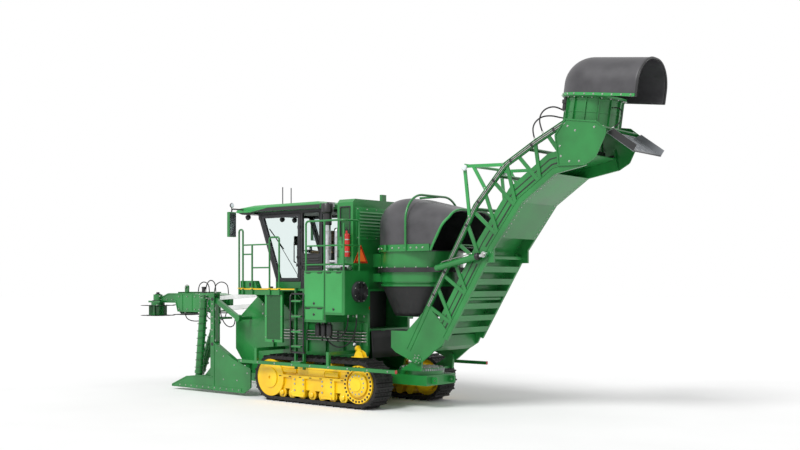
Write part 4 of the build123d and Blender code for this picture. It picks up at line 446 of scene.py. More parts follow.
def edged(corners, y, thick, width, loop=True):
    """Raised edging along a flat (x, z) outline: bars centred on y, as wide as `width` in its plane."""
    ends = zip(corners, corners[1:] + corners[:1] if loop else corners[1:])
    return weld(*[bar((a[0], y, a[1]), (b[0], y, b[1]), thick, width, (b[1] - a[1], 0, a[0] - b[0]))
                  for a, b in ends])


def helix_band(foot, head, core, tip, pitch, thick, steps=24):
    """Flight of a screw: radius core to tip, angle 2 pi s / pitch, height s, thickness along the axis."""
    foot, head = np.asarray(foot, float), np.asarray(head, float)
    length = np.linalg.norm(head - foot)
    first, second, third = basis(head - foot)
    travel = np.linspace(0, length, int(length / pitch * steps))
    turn = 2 * pi * travel / pitch
    spoke = np.cos(turn)[:, None] * first + np.sin(turn)[:, None] * second
    taper = np.clip(np.minimum(travel, length - travel) / (pitch / 4), 0.02, 1.0)
    reach = core + (tip - core) * taper
    middle = foot + travel[:, None] * third
    corners = [middle + core * spoke - thick * third, middle + reach[:, None] * spoke - thick / 2 * third,
               middle + reach[:, None] * spoke + thick / 2 * third, middle + core * spoke + thick * third]
    return grid(np.stack(corners, 1), wrap_v=True, caps=True)


def piece(name, shapes, material, body="chassis", bevel=0.0, angle=35.0, replaces=()):
    """One object at the origin from welded shapes: normals out, smooth below `angle`, riding on a body."""
    points, faces = weld(*shapes) if isinstance(shapes, list) else shapes
    mesh = bpy.data.meshes.new(name)
    mesh.from_pydata((points + (SHIFT, 0, 0)).tolist(), [], faces)
    loose = bmesh.new()
    loose.from_mesh(mesh)
    bmesh.ops.recalc_face_normals(loose, faces=loose.faces)
    loose.to_mesh(mesh)
    loose.free()
    mesh.shade_smooth()
    mesh.set_sharp_from_angle(angle=radians(angle))
    made = bpy.data.objects.new(name, mesh)
    bpy.context.scene.collection.objects.link(made)
    mesh.materials.append(finish(material))
    if bevel:
        edge = made.modifiers.new("broken_edges", "BEVEL")
        edge.width = bevel
        edge.segments = 2
        edge.limit_method = "ANGLE"
        edge.angle_limit = radians(40)
    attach(made, body)
    if replaces:
        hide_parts(*replaces)
    return made


# Which finish each solid shows
NODE_FINISH = {
    "track_left": "track_steel", "track_right": "track_steel", "track_frame_left": "yellow_enamel",
    "track_frame_right": "yellow_enamel", "engine_block": "black_enamel", "extinguisher": "red_enamel",
    "slow_sign": "reflective_sheet_painted_glow", "air_intake": "cab_plastic", "exhaust": "aluminised_pipe",
    "cab_frame": "cab_plastic", "cab_door": "cab_plastic",
    "cab_glass": "window_glass", "door_glass": "window_glass",
    # The cab roof and the elevator hoop take the paler green, which is painted light
    "cab_roof": "green_enamel_painted_lit", "cab_interior": "seat_weave", "roof_fittings": "cab_plastic",
    "primary_hood": "hood_polyethylene", "secondary_hood": "hood_polyethylene", "primary_fan": "worn_steel",
    "secondary_fan": "worn_steel", "elevator_slats": "black_enamel", "lift_rods": "hard_chrome",
    "bin_flap": "grey_enamel", "base_cutter_left": "worn_steel", "base_cutter_right": "worn_steel",
    "side_grilles": "green_enamel", "topper_link": "white_enamel",
    "topper_drum_left": "black_enamel", "topper_drum_right": "black_enamel",
    "slew_yoke": "black_enamel", "elevator_hoop": "green_enamel_painted_lit", "topper_boom": "white_enamel",
}


def dress_solids():
    """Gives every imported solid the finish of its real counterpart."""
    for name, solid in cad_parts.items():
        material = finish(NODE_FINISH.get(name, "green_enamel"))
        solid.data.materials.clear()
        solid.data.materials.append(material)


# Stage

EYE = (-13.25, 14.98, 2.25)
LOOK_DEG = 41.5
LENS = 47.1
LENS_SHIFT = (0.0565, 0.071)
FLOOR_HALF = 120.0
SENSOR_WIDTH, CLIP_END = 36.0, 500.0
KEY_WAY, KEY_ANGLE = (-0.05, 0.74, 0.67), radians(24)


def pale_floor():
    """Pale floor that shows white to the camera where it is lit, and keeps the shadow."""
    material, tree, output, place = blank("pale_floor")
    mottle = noise(tree, place, MOTTLE)
    colour = ramp(tree, (mottle, "Fac"), ((0.3, "#f4f4f4"), (0.7, "#f8f8f8")))
    return closed(material, tree, output, {"Color": (colour, "Color")}, "ShaderNodeBsdfDiffuse")


def set_stage(sizes):
    """Floor, soft light from the driver's left and the photograph's viewpoint."""
    corner = np.array([(-1, -1, 0), (1, -1, 0), (1, 1, 0), (-1, 1, 0)]) * FLOOR_HALF
    mesh = bpy.data.meshes.new("floor")
    mesh.from_pydata(corner.tolist(), [], [[0, 1, 2, 3]])
    mesh.materials.append(pale_floor())
    floor = bpy.data.objects.new("floor", mesh)
    bpy.context.scene.collection.objects.link(floor)

    scene = bpy.context.scene
    scene.view_settings.view_transform = "Standard"
    world = bpy.data.worlds.new("studio")
    scene.world = world
    world.use_nodes = True
    tree = world.node_tree
    tree.nodes.clear()
    rays = add(tree, "ShaderNodeLightPath")
    glossy = add(tree, "ShaderNodeMath", {0: (rays, "Is Camera Ray"), 1: (rays, "Is Glossy Ray")},
                 operation="MAXIMUM")
    seen = add(tree, "ShaderNodeMath", {0: (glossy, "Value"), 1: (rays, "Is Transmission Ray")},
               operation="MAXIMUM")
    level = add(tree, "ShaderNodeMapRange",
                {"Value": (seen, "Value"), "To Min": sizes.sky_light, "To Max": 1.0})
    sky = add(tree, "ShaderNodeBackground", {"Color": srgb("#ffffff"), "Strength": (level, "Result")})
    add(tree, "ShaderNodeOutputWorld", {"Surface": (sky, "Background")})

    key = bpy.data.lights.new("key", "SUN")
    key.energy = sizes.key_light
    key.angle = KEY_ANGLE
    lamp = bpy.data.objects.new("key", key)
    lamp.rotation_euler = Vector(KEY_WAY).to_track_quat("Z", "Y").to_euler()
    scene.collection.objects.link(lamp)

    camera = bpy.data.cameras.new("camera")
    camera.sensor_width = SENSOR_WIDTH
    camera.lens = LENS
    camera.shift_x, camera.shift_y = LENS_SHIFT
    camera.clip_end = CLIP_END
    eye = bpy.data.objects.new("camera", camera)
    eye.location = (EYE[0] + SHIFT, EYE[1], EYE[2])
    eye.rotation_euler = (radians(90), 0, radians(180 + LOOK_DEG))
    scene.collection.objects.link(eye)
    scene.camera = eye


# Extractor hoods

SLEW_X = -1.62
HOOD_FOOT = 2.7803
TAIL_AXIS = (-5.09, 5.15)
TAIL_REACH = 0.95
TAIL_TILT = radians(8)


def arch_line(half, height, corner, count):
    """Half arch as (radius, height) by arc length: leg, quarter circle of radius `corner`, flat crown."""
    leg, crown = height - corner, half - corner
    quarter = corner * pi / 2
    travel = np.linspace(0, leg + quarter + crown, count)
    turn = np.clip((travel - leg) / corner, 0, pi / 2)
    flat = np.clip(travel - leg - quarter, 0, None)
    radius = half - corner * (1 - np.cos(turn)) - flat
    return np.maximum(radius, 0.0), np.minimum(travel, leg) + corner * np.sin(turn)


def hood_skin(half, height, corner, reach, end_height, slant, count=30, turns=40, runs=22):
    """Dome and tunnel. Dome: the arch turned half round. Tunnel: the arch carried back to a lip at
    x = -reach + slant(1 - z/(0.8 mouth)), its height falling straight to the mouth's."""
    radius, rise = arch_line(half, height, corner, count)
    turn = np.linspace(-pi / 2, pi / 2, turns)
    dome = np.stack([np.outer(np.cos(turn), radius), np.outer(np.sin(turn), radius),
                     np.broadcast_to(rise, (turns, count))], -1)
    side = np.concatenate([radius, -radius[::-1]])
    up = np.concatenate([rise, rise[::-1]])
    share = np.linspace(0, 1, runs)[:, None]
    end_up = up * end_height / height
    end_x = -reach + slant * np.clip(1 - end_up / (0.8 * end_height), 0, 1)
    drop = (1 - share * (1 - end_height / height) * np.clip(-end_x / reach, 0, 1))
    tunnel = np.stack([share * end_x, np.broadcast_to(side, (runs, len(side))), up * drop], -1)
    return grid(dome), grid(tunnel), tunnel[-1]


def moved(shape, place):
    """Shape moved by a place."""
    return shape[0] + np.asarray(place), shape[1]


def on_tail(shape):
    """Turns a shape made round the second fan's axis by its tilt and puts it on the elevator's head."""
    points, faces = shape
    x, y, z = np.asarray(points, float).T
    turned = np.stack([x * cos(TAIL_TILT) - z * sin(TAIL_TILT) + TAIL_AXIS[0], y,
                       x * sin(TAIL_TILT) + z * cos(TAIL_TILT) + TAIL_AXIS[1]], -1)
    return turned, faces


def walled(made, thickness):
    """Merges doubles and gives an open skin its wall, inwards."""
    mesh = bmesh.new()
    mesh.from_mesh(made.data)
    bmesh.ops.remove_doubles(mesh, verts=mesh.verts, dist=0.0005)
    bmesh.ops.dissolve_degenerate(mesh, edges=mesh.edges, dist=0.0004)
    mesh.normal_update()
    mesh.to_mesh(made.data)
    mesh.free()
    wall = made.modifiers.new("wall", "SOLIDIFY")
    wall.thickness = thickness
    wall.offset = -1.0
    return made


def build_first_hood():
    """Moulded hood with its lip rim, base ring and bolts, and the funnel's folded curtain."""
    dome, tunnel, lip = hood_skin(half=0.76, height=0.96, corner=0.48, reach=1.09, end_height=0.70,
                                  slant=0.33)
    place = (SLEW_X, 0, HOOD_FOOT)
    skin = piece("hood_skin", [moved(dome, place), moved(tunnel, place)], "hood_polyethylene", "hood",
                 angle=50, replaces=["primary_hood"])
    walled(skin, 0.018)
    rim = lip + np.array((0.0, 0.0, 0.012))
    inward = rim * (1, 0.985, 1)
    piece("hood_lip_rim", moved(tube(inward, 0.022, 8), place), "green_enamel_painted_lit", "hood")
    base = ring(0.758, 0.726, 0.0, 0.02, place, sides=64)
    piece("hood_base_ring", base, "black_enamel", "hood")
    spin, fall = full_turn(144), np.linspace(0, 1, 9)
    reach = 0.728 - 0.246 * fall[None] + 0.005 * np.sin(18 * spin)[:, None] * fall[None]
    folds = np.stack([SLEW_X + reach * np.cos(spin)[:, None], reach * np.sin(spin)[:, None],
                      np.broadcast_to(2.205 - 0.565 * fall, reach.shape)], -1)
    walled(piece("funnel_curtain", grid(folds, wrap_u=True), "hose_rubber"), 0.006)
    strap = lathe([(0.720, 2.170), (0.738, 2.170), (0.744, 2.205), (0.724, 2.205)], (SLEW_X, 0, 0), UP, 72)
    piece("curtain_strap", strap, "green_enamel")
    turn = np.linspace(-1.5, 1.5, 15)
    studs = [bolts([(SLEW_X + 0.786 * cos(t), 0.786 * sin(t), HOOD_FOOT + 0.06)], (cos(t), sin(t), 0))
             for t in turn]
    rear = np.linspace(-0.1, -0.62, 5) + SLEW_X
    studs += [bolts([(x, s * 0.786, HOOD_FOOT + 0.06) for x in rear], (0, s, 0)) for s in (1, -1)]
    piece("hood_band_bolts", studs, "zinc_plate", "hood")


def build_tail_hood():
    """Second moulded hood with its bolted base flange and lip rim."""
    dome, tunnel, lip = hood_skin(half=0.50, height=0.65, corner=0.455, reach=TAIL_REACH, end_height=0.65,
                                  slant=0.0, turns=36)
    lift = (0, 0, 0.0003)
    skin = piece("tail_hood_skin", [on_tail(moved(dome, lift)), on_tail(moved(tunnel, lift))],
                 "hood_polyethylene", "tail_hood", angle=50, replaces=["secondary_hood"])
    walled(skin, 0.018)
    rim = tube(lip * (0.995, 0.975, 0.98) + (0, 0, 0.004), 0.018, 8)
    piece("tail_hood_rim", on_tail(rim), "black_enamel", "tail_hood")
    turn = np.linspace(-pi / 2, pi / 2, 40)
    front = np.stack([0.508 * np.cos(turn), 0.508 * np.sin(turn), np.full(40, 0.022)], -1)
    path = np.vstack([[(-TAIL_REACH + 0.01, -0.508, 0.022)], front, [(-TAIL_REACH + 0.01, 0.508, 0.022)]])
    band = np.array([(-0.022, -0.004), (0.022, -0.004), (0.022, 0.010), (-0.022, 0.010)])
    one, _ = across_of(path)
    out = one * np.sign(one[20] @ np.array((1.0, 0, 0)))
    rows = path[:, None] + band[None, :, 1, None] * out[:, None] + band[None, :, 0,
                                                                        None] * np.array((0, 0, 1.0))
    flange = grid(rows, wrap_v=True, caps=True)
    floor = ring(0.498, 0.412, 0.0, 0.02, (0, 0, 0.0003), sides=48)
    piece("tail_hood_flange", [on_tail(flange), on_tail(floor)], "green_enamel_painted_lit", "tail_hood")
    heads = []
    for t in np.linspace(-1.4, 1.4, 11):
        heads.append(on_tail(bolts([(0.52 * cos(t), 0.52 * sin(t), 0.022)], (cos(t), sin(t), 0), 0.02)))
    for s in (1, -1):
        heads.append(on_tail(bolts([(x, s * 0.52, 0.022) for x in np.linspace(-0.1, 0.07 - TAIL_REACH, 6)],
                                   (0, s, 0), 0.02)))
    piece("tail_hood_bolts", heads, "zinc_plate", "tail_hood")


# Crop dividers

SCROLLS = {
    "outer_scroll": ((3.45, 0.95, 0.37), (3.29, 0.95, 1.92)),
    "inner_scroll": ((3.62, 0.74, 0.40), (3.29, 0.60, 1.45)),
}
SCROLL_CORE, SCROLL_TIP, SCROLL_PITCH = 0.08, 0.104, 0.15


def build_scrolls():
    """Gathering scrolls: a core tube with one continuous welded flight."""
    for name, (foot, head) in SCROLLS.items():
        foot, head = np.array(foot), np.array(head)
        along = (head - foot) / np.linalg.norm(head - foot)
        core = tube(np.linspace(foot, head, 6), SCROLL_CORE, 28)
        collars = [ring(SCROLL_CORE + 0.012, 0.02, low, low + 0.05, at, along, 24)
                   for at, low in ((foot, 0.004), (head, -0.054))]
        flight = helix_band(foot + along * 0.06, head - along * 0.06, SCROLL_CORE - 0.002, SCROLL_TIP,
                            SCROLL_PITCH, 0.006)
        shape = weld(core, flight, *collars)
        for side, sign in SIDES:
            piece(name + "_flight_" + side, sided(shape, sign), "green_enamel", name + "_" + side, angle=40,
                  replaces=[name + "_" + side])


# Tracks

TRACK_END, TRACK_RUN = 0.44, 2.23
TRACK_BASE, TRACK_INSIDE = 0.41, 0.35
TRACK_Y = (0.7115, 1.1685)
SHOES = 41
ROLLER_Z = 0.175


def track_loop(travel, out):
    """Round-ended loop, `out` from its middle line: bottom run, front half circle, top run, rear one."""
    half, bend = TRACK_RUN / 2, pi * TRACK_BASE
    travel = np.asarray(travel, float) % (2 * TRACK_RUN + 2 * bend)
    front = (travel - TRACK_RUN) / TRACK_BASE - pi / 2
    rear = (travel - 2 * TRACK_RUN - bend) / TRACK_BASE + pi / 2
    part = np.digitize(travel, [TRACK_RUN, TRACK_RUN + bend, 2 * TRACK_RUN + bend])
    x = np.choose(part, [travel - half, half + out * np.cos(front), half - (travel - TRACK_RUN - bend),
                         -half + out * np.cos(rear)])
    z = np.choose(part, [TRACK_END - out + 0 * travel, TRACK_END + out * np.sin(front),
                         TRACK_END + out + 0 * travel, TRACK_END + out * np.sin(rear)])
    return x, z


def loop_blocks(count, start, width, low, high, y):
    """Small blocks along the track's loop, each from `low` to `high` out of its middle line."""
    loop = 2 * TRACK_RUN + 2 * pi * TRACK_BASE
    middle = (np.arange(count) + start) * loop / count
    corners = []
    for shift, out in ((-width / 2, low), (width / 2, low), (width / 2, high), (-width / 2, high)):
        x, z = track_loop(middle + shift, out)
        corners.append(np.stack([x, z], -1))
    face = np.stack(corners, 1)
    points = np.zeros((count, 2, 4, 3))
    points[..., 0] = face[:, None, :, 0]
    points[..., 2] = face[:, None, :, 1]
    points[:, 0, :, 1], points[:, 1, :, 1] = y
    faces = grid(points[0], wrap_v=True, caps=True)[1]
    return points.reshape(-1, 3), [[i + 8 * k for i in one] for k in range(count) for one in faces]


def build_tracks():
    """Chain links, shoe pads, sprocket rims with slots drawn as painted shade, roller hubs, guards and bolts
    of both tracks.
    """
    low, high = TRACK_Y
    links = [loop_blocks(SHOES * 2, 0.5, 0.075, TRACK_INSIDE - 0.012, TRACK_BASE - 0.02, (y, y + 0.04))
             for y in (low + 0.12, high - 0.17)]
    pads = [loop_blocks(SHOES, 0.5 + s, 0.022, TRACK_BASE + 0.002, TRACK_BASE + 0.012, (y, y + 0.03))
            for s in (-0.27, 0.27) for y in (low + 0.09, low + 0.17, high - 0.2, high - 0.12)]
    ends = [loop_blocks(SHOES, 0.5, 0.018, TRACK_BASE - 0.03, TRACK_BASE + 0.026, (y, y + 0.012))
            for y in (low - 0.004, high - 0.008)]
    half = TRACK_RUN / 2
    out = high + 0.001
    turn = full_turn(26)
    rim = ring(0.335, 0.262, -0.012, 0.02, (-half, out, TRACK_END), LEFT, 52)
    # Painted shade: the slots are dark blocks on the sprocket rim and the frame's ledge, standing for the
    # shadow inside openings
    slots = copies(block((-0.018, 0.018), (-0.001, 0.004), (-0.018, 0.018)),
                   around((-half, out + 0.02, TRACK_END), 0.300, turn, "xz"))
    hub = lathe([(0.004, 0.0), (0.215, 0.0), (0.215, 0.03), (0.19, 0.05), (0.12, 0.056), (0.11, 0.075),
                 (0.004, 0.08)], (-half, out, TRACK_END), LEFT, 40)
    hub_bolts = bolts(around((-half, out + 0.05, TRACK_END), 0.165, turn[::2], "xz"), LEFT, 0.026)
    nose = ring(0.19, 0.03, 0.0, 0.02, (half, high - 0.006, TRACK_END), LEFT, 40)
    xs = -0.71 + np.arange(7) / 6 * 1.54
    rollers = [lathe([(0.004, 0.0), (0.052, 0.0), (0.052, 0.03), (0.035, 0.045), (0.004, 0.05)],
                     (x, high - 0.055, ROLLER_Z), LEFT, 20) for x in xs]
    flanges = [ring(0.098, 0.04, -0.02, 0.0, (x, high - 0.056, ROLLER_Z), LEFT, 28) for x in xs]
    ledge_slots = [block((x, x + 0.06), (high - 0.0085, high - 0.004), (0.479, 0.493))
                   for x in np.linspace(-0.75, 0.82, 7)]
    guard = [block((x - 0.13, x + 0.13), (high - 0.012, high + 0.012), (0.128, 0.17)) for x in (-0.35, 0.35)]
    guard_bolts = bolts([(x + dx, high + 0.001, z) for x in (-0.35, 0.35) for dx in (-0.11, 0.11)
                         for z in (0.24, 0.36, 0.44)], LEFT, 0.026)
    beam_rib = block((-0.86, 0.96), (high - 0.054, high - 0.038), (0.64, 0.668))
    tensioner = [tube(np.linspace((0.45, high - 0.07, 0.585), (0.96, high - 0.07, 0.585), 3), 0.05, 24),
                 tube(np.linspace((-0.62, high - 0.06, 0.575), (-0.30, high - 0.06, 0.575), 3), 0.06, 24)]
    cap = disc(0.075, 0.0, 0.02, (-0.30, high - 0.06, 0.575), AHEAD, 24, 0.006)
    wheels = weld(*rollers, *flanges, *guard, beam_rib, *tensioner, cap)
    for side, sign in SIDES:
        piece("track_links_" + side, sided(weld(*links, *pads, *ends), sign), "track_steel")
        piece("sprocket_" + side, sided(weld(rim, hub, nose), sign), "yellow_enamel", angle=40)
        piece("sprocket_slot_shade_" + side, sided(weld(slots, *ledge_slots), sign), "oiled_grip_and_hole_shade")
        piece("track_rollers_" + side, sided(wheels, sign), "yellow_enamel", bevel=0.003)
        piece("track_bolts_" + side, sided(weld(hub_bolts, guard_bolts), sign), "zinc_plate")


# Chassis and decks

WALL_OUT, DECK_HALF, TANK_OUT, RAIL_Y = 0.61, 1.20, 1.29, 1.345
DECK_TOP, TANK_TOP, HOUSING_SIDE = 2.12, 2.4503, 0.9
LADDER_X, LADDER_Y, LADDER_GRIP_Z = (0.10, 0.43), 1.262, (0.95, 2.03)


def clamps(path_ends, count, radius, width=0.03):
    """Saddle clamps spread evenly along a straight pipe."""
    start, end = (np.asarray(one, float) for one in path_ends)
    shares = (np.arange(count) + 0.5) / count
    along = end - start
    return weld(*[ring(radius * 1.5, radius * 0.9, -width / 2, width / 2, start + along * s, along, 10)
                  for s in shares])


def build_chassis():
    """Wall ribs, pipes with clamps, levelling cylinders, reflectors, rail caps and the rear curtain."""
    out = WALL_OUT
    ribs = [block((x, x + 0.012), (out, out + 0.05), (0.93, 1.5))
            for x in (-0.72, -0.3, 0.15, 0.62, 1.1, 1.55)]
    shelf = block((-0.8, 1.6), (out, out + 0.07), (1.5, 1.512))
    piece("wall_ribs", both(*ribs, shelf), "green_enamel", bevel=0.002)
    pipes, saddles = [], []
    for row in range(4):
        z = 1.16 + 0.055 * row
        ends = ((-0.78, out + 0.055, z), (1.62, out + 0.055, z))
        pipes.append(tube(rounded([(-0.82, out - 0.03, z), *ends, (1.66, out - 0.03, z)], 0.03), 0.0125, 10))
        saddles.append(clamps(ends, 6, 0.0125))
    piece("wall_pipes", both(*pipes), "zinc_plate")
    piece("pipe_clamps", both(*saddles), "black_enamel")
    low, high = np.array((-0.90, 0.86, 0.965)), np.array((-0.60, 0.665, 1.105))
    way = (high - low) / np.linalg.norm(high - low)
    barrel = lathe([(0.004, 0.02), (0.05, 0.02), (0.05, 0.19), (0.056, 0.195), (0.056, 0.225), (0.03, 0.23),
                    (0.004, 0.23)], low, way, 28)
    clevis = [slab([(-1.0, 0.905), (-0.78, 0.905), (-0.83, 1.0), (-0.90, 1.02), (-0.97, 0.98)], "xz", y,
                   y + 0.018) for y in (0.80, 0.90)]
    sole = block((-1.02, -0.74), (0.78, 0.94), (0.893, 0.907))
    piece("level_cylinders", both(barrel, *clevis, sole), "yellow_enamel", bevel=0.003)
    stem = tube(np.linspace(low + way * 0.2, high, 4), 0.024, 16)
    eye = disc(0.036, -0.05, 0.03, high, LEFT, 24, 0.004)
    piece("level_rods", both(stem, eye), "hard_chrome")
    lens = block((-2.116, -2.11), (RAIL_Y - 0.026, RAIL_Y + 0.026), (0.70, 0.76))
    square = block((-0.852, -0.842), (0.555, 0.605), (1.75, 1.80))
    piece("rear_reflectors", both(lens, square), "red_lens", bevel=0.002)
    cap = block((1.79, 1.802), (RAIL_Y - 0.034, RAIL_Y + 0.034), (0.696, 0.764))
    bands = bolts([(x, RAIL_Y + 0.03, 0.73) for x in np.linspace(-1.95, 1.7, 9)], LEFT, 0.022)
    piece("rail_caps", both(cap), "black_enamel", bevel=0.003)
    piece("rail_bolts", both(bands), "zinc_plate")
    wave = np.linspace(-0.53, 0.53, 60)
    flaps = [grid(np.stack([np.stack([-0.86 + 0.012 * np.sin(9 * wave) - 0.01 * k, wave, np.full(60, z)], -1)
                            for k, z in enumerate((1.36, 1.2, 1.02, 0.86))]))]
    walled(piece("rear_curtain", flaps, "hose_rubber"), 0.008)
    wall_bolts = bolts([(x, out, z) for x in (-0.76, -0.5, 1.7, 1.9) for z in (1.62, 1.8, 1.98)], LEFT, 0.028)
    piece("wall_bolts", both(wall_bolts), "zinc_plate")


def build_decks():
    """Chequered tread, edge strips, toe box, ladder grips and rails, rail feet and deck lamps."""
    xs, ys = np.meshgrid(np.arange(0.16, 1.92, 0.055), np.arange(0.80, 1.17, 0.055), indexing="ij")
    flip = (np.arange(xs.size).reshape(xs.shape) % 2 == 0)
    lozenge = [slab([(-0.017, 0), (0, -0.005), (0.017, 0), (0, 0.005)], "xy", 0.0, 0.0025),
               slab([(0, -0.017), (0.005, 0), (0, 0.017), (-0.005, 0)], "xy", 0.0, 0.0025)]
    places = np.stack([xs, ys, np.full(xs.shape, DECK_TOP)], -1)
    tread = weld(*[copies(shape, places[mask]) for shape, mask in zip(lozenge, (flip, ~flip))])
    piece("deck_tread", both(tread), "green_enamel")
    toe = slab([(1.44, 2.119), (1.92, 2.119), (1.92, 2.27), (1.52, 2.27)], "xz", DECK_HALF - 0.13,
               DECK_HALF - 0.006)
    # Painted shade: a dark patch on the toe box stands for the shadow in its sunk foothold
    sunk = block((1.59, 1.67), (DECK_HALF - 0.007, DECK_HALF - 0.004), (2.16, 2.235))
    strip = block((0.42, 1.952), (DECK_HALF, DECK_HALF + 0.016), (2.1, 2.122))
    nose = block((1.944, 1.956), (-1.19, 1.19), (2.085, 2.122))
    piece("toe_box", both(toe), "green_enamel", bevel=0.003)
    piece("toe_recess_shade", both(sunk), "oiled_grip_and_hole_shade")
    piece("deck_edge", weld(both(strip), nose), "yellow_enamel", bevel=0.003)
    rows = [(x, y, z + 0.0305) for z in (0.76, 1.05, 1.32, 1.60, 1.88) for x in np.arange(0.16, 0.36, 0.028)
            for y in (1.235, 1.275, 1.315)]
    teeth = copies(ring(0.009, 0.005, 0.0, 0.005, ORIGIN, UP, 8), rows)
    piece("ladder_grip", teeth, "zinc_plate")
    y, (low, high) = LADDER_Y, LADDER_GRIP_Z
    hands = [tube(rounded([(x, y, low), (x, y + 0.048, low + 0.03), (x, y + 0.048, high - 0.03),
                           (x, y, high)], 0.04), 0.015, 12) for x in LADDER_X]
    ties = [bar((x, y, z), (sum(LADDER_X) / 2, y, z), 0.03, 0.03) for x in LADDER_X for z in LADDER_GRIP_Z]
    piece("ladder_hand_rails", [*hands, *ties], "black_enamel")
    feet = [(x, 1.218, DECK_TOP) for x in (1.93, 1.82, 1.56, 1.08, 0.82)]
    pads = copies(ring(0.038, 0.019, 0.0, 0.012, ORIGIN, UP, 20), feet)
    clips = bolts([(x + dx, DECK_HALF + 0.001, 2.1) for x, _, _ in feet for dx in (-0.028, 0.028)], LEFT,
                  0.018)
    piece("rail_feet", both(pads), "yellow_enamel")
    piece("rail_foot_bolts", both(clips), "zinc_plate")
    lamps = [disc(0.045, 0.0, 0.05, (1.95, s * 1.03, 2.17), AHEAD, 24, 0.01) for s in (1, -1)]
    stems = [block((1.93, 1.96), (s * 1.03 - 0.02, s * 1.03 + 0.02), (DECK_TOP, DECK_TOP + 0.02))
             for s in (1, -1)]
    piece("deck_lamps", lamps, "clear_lens")
    piece("deck_lamp_feet", stems, "black_enamel")


def framed(x, z, y, width, depth):
    """Picture-frame moulding on an upright face: an outline with a hole, as four mitred bars."""
    corners = [(x[0], z[0]), (x[1], z[0]), (x[1], z[1]), (x[0], z[1])]
    inner = [(x[0] + width, z[0] + width), (x[1] - width, z[0] + width), (x[1] - width, z[1] - width),
             (x[0] + width, z[1] - width)]
    return weld(*[slab([corners[k], corners[(k + 1) % 4], inner[(k + 1) % 4], inner[k]], "xz", y, y + depth)
                  for k in range(4)])


def build_side_panels():
    """Tank doors with hinges, latches and cap, oil filters, and the framed grilles with their mesh."""
    y = TANK_OUT
    upper = block((-0.84, -0.44), (y - 0.002, y + 0.009), (1.70, 2.41))
    front = block((-0.40, 0.08), (y - 0.002, y + 0.009), (1.80, 2.41))
    door = block((-0.38, 0.06), (y - 0.002, y + 0.012), (1.56, 1.765))
    # The tank panels take the paler green, painted light on their lit faces
    piece("tank_panels", both(upper, front, door), "green_enamel_painted_lit", bevel=0.005)
    seam = [block((-0.424, -0.416), (y - 0.004, y + 0.003), (1.56, 2.44)),
            block((-0.40, 0.08), (y - 0.004, y + 0.003), (1.778, 1.784))]
    piece("tank_seams", both(*seam), "oiled_grip_and_hole_shade")
    latch = [lathe([(0.002, 0), (0.024, 0), (0.024, 0.008), (0.016, 0.014), (0.002, 0.016)], place, LEFT, 20)
             for place in ((-0.64, y + 0.008, 1.76), (-0.16, y + 0.008, 1.86), (-0.16, y + 0.011, 1.66))]
    canister = lathe([(0.004, 0), (0.05, 0), (0.058, 0.012), (0.058, 0.20), (0.05, 0.215), (0.035, 0.22),
                      (0.035, 0.262), (0.004, 0.262)], (0, 0, 1.26), UP, 24)
    piece("oil_filters", both(copies(canister, [(-0.32, 1.06, 0), (-0.18, 1.06, 0), (-0.04, 1.06, 0)])),
          "black_enamel")
    knuckle = [tube(np.linspace((x - 0.05, y + 0.012, z), (x + 0.05, y + 0.012, z), 3), 0.01, 10)
               for x, z in ((-0.76, 2.41), (-0.52, 2.41), (-0.30, 2.41), (-0.02, 2.41), (-0.3, 1.765),
                            (0.0, 1.765))]
    piece("tank_latches", both(*latch, *knuckle), "black_enamel")
    cap = lathe([(0.004, 0), (0.07, 0), (0.07, 0.02), (0.058, 0.025), (0.058, 0.06), (0.05, 0.07),
                 (0.004, 0.072)], (-0.72, 1.12, 2.45), UP, 28)
    piece("tank_caps", both(cap), "black_enamel")
    x, z, face = (0.78, 1.25), (1.11, 2.079), 1.17
    piece("grille_frames", both(framed(x, z, face - 0.002, 0.05, 0.010)), "green_enamel_painted_lit", bevel=0.003)
    mesh = block((0.82, 1.21), (face - 0.003, face + 0.003), (1.15, 2.04))
    piece("grille_mesh", both(mesh), "punched_screen")
    grips = [disc(0.022, 0.0, 0.018, (1.015, face + 0.008, z_at), LEFT, 20, 0.005) for z_at in (1.135, 2.055)]
    heads = bolts([(x_at, face + 0.008, z_at) for x_at in (0.805, 1.225) for z_at in (1.2, 1.6, 2.0)], LEFT,
                  0.016)
    piece("grille_knobs", both(*grips), "black_enamel")
    piece("grille_bolts", both(heads), "zinc_plate")


# Upper body

COOLER_AT = (-0.953, 0.9, 2.07)
EXHAUST_AT, SILENCER_AT, BOTTLE_AT = (-0.12, 0.9), (-0.31, 0.85), (-0.65, 0.9603)
EXHAUST_BANDS_Z = (2.57, 2.86, 3.16)


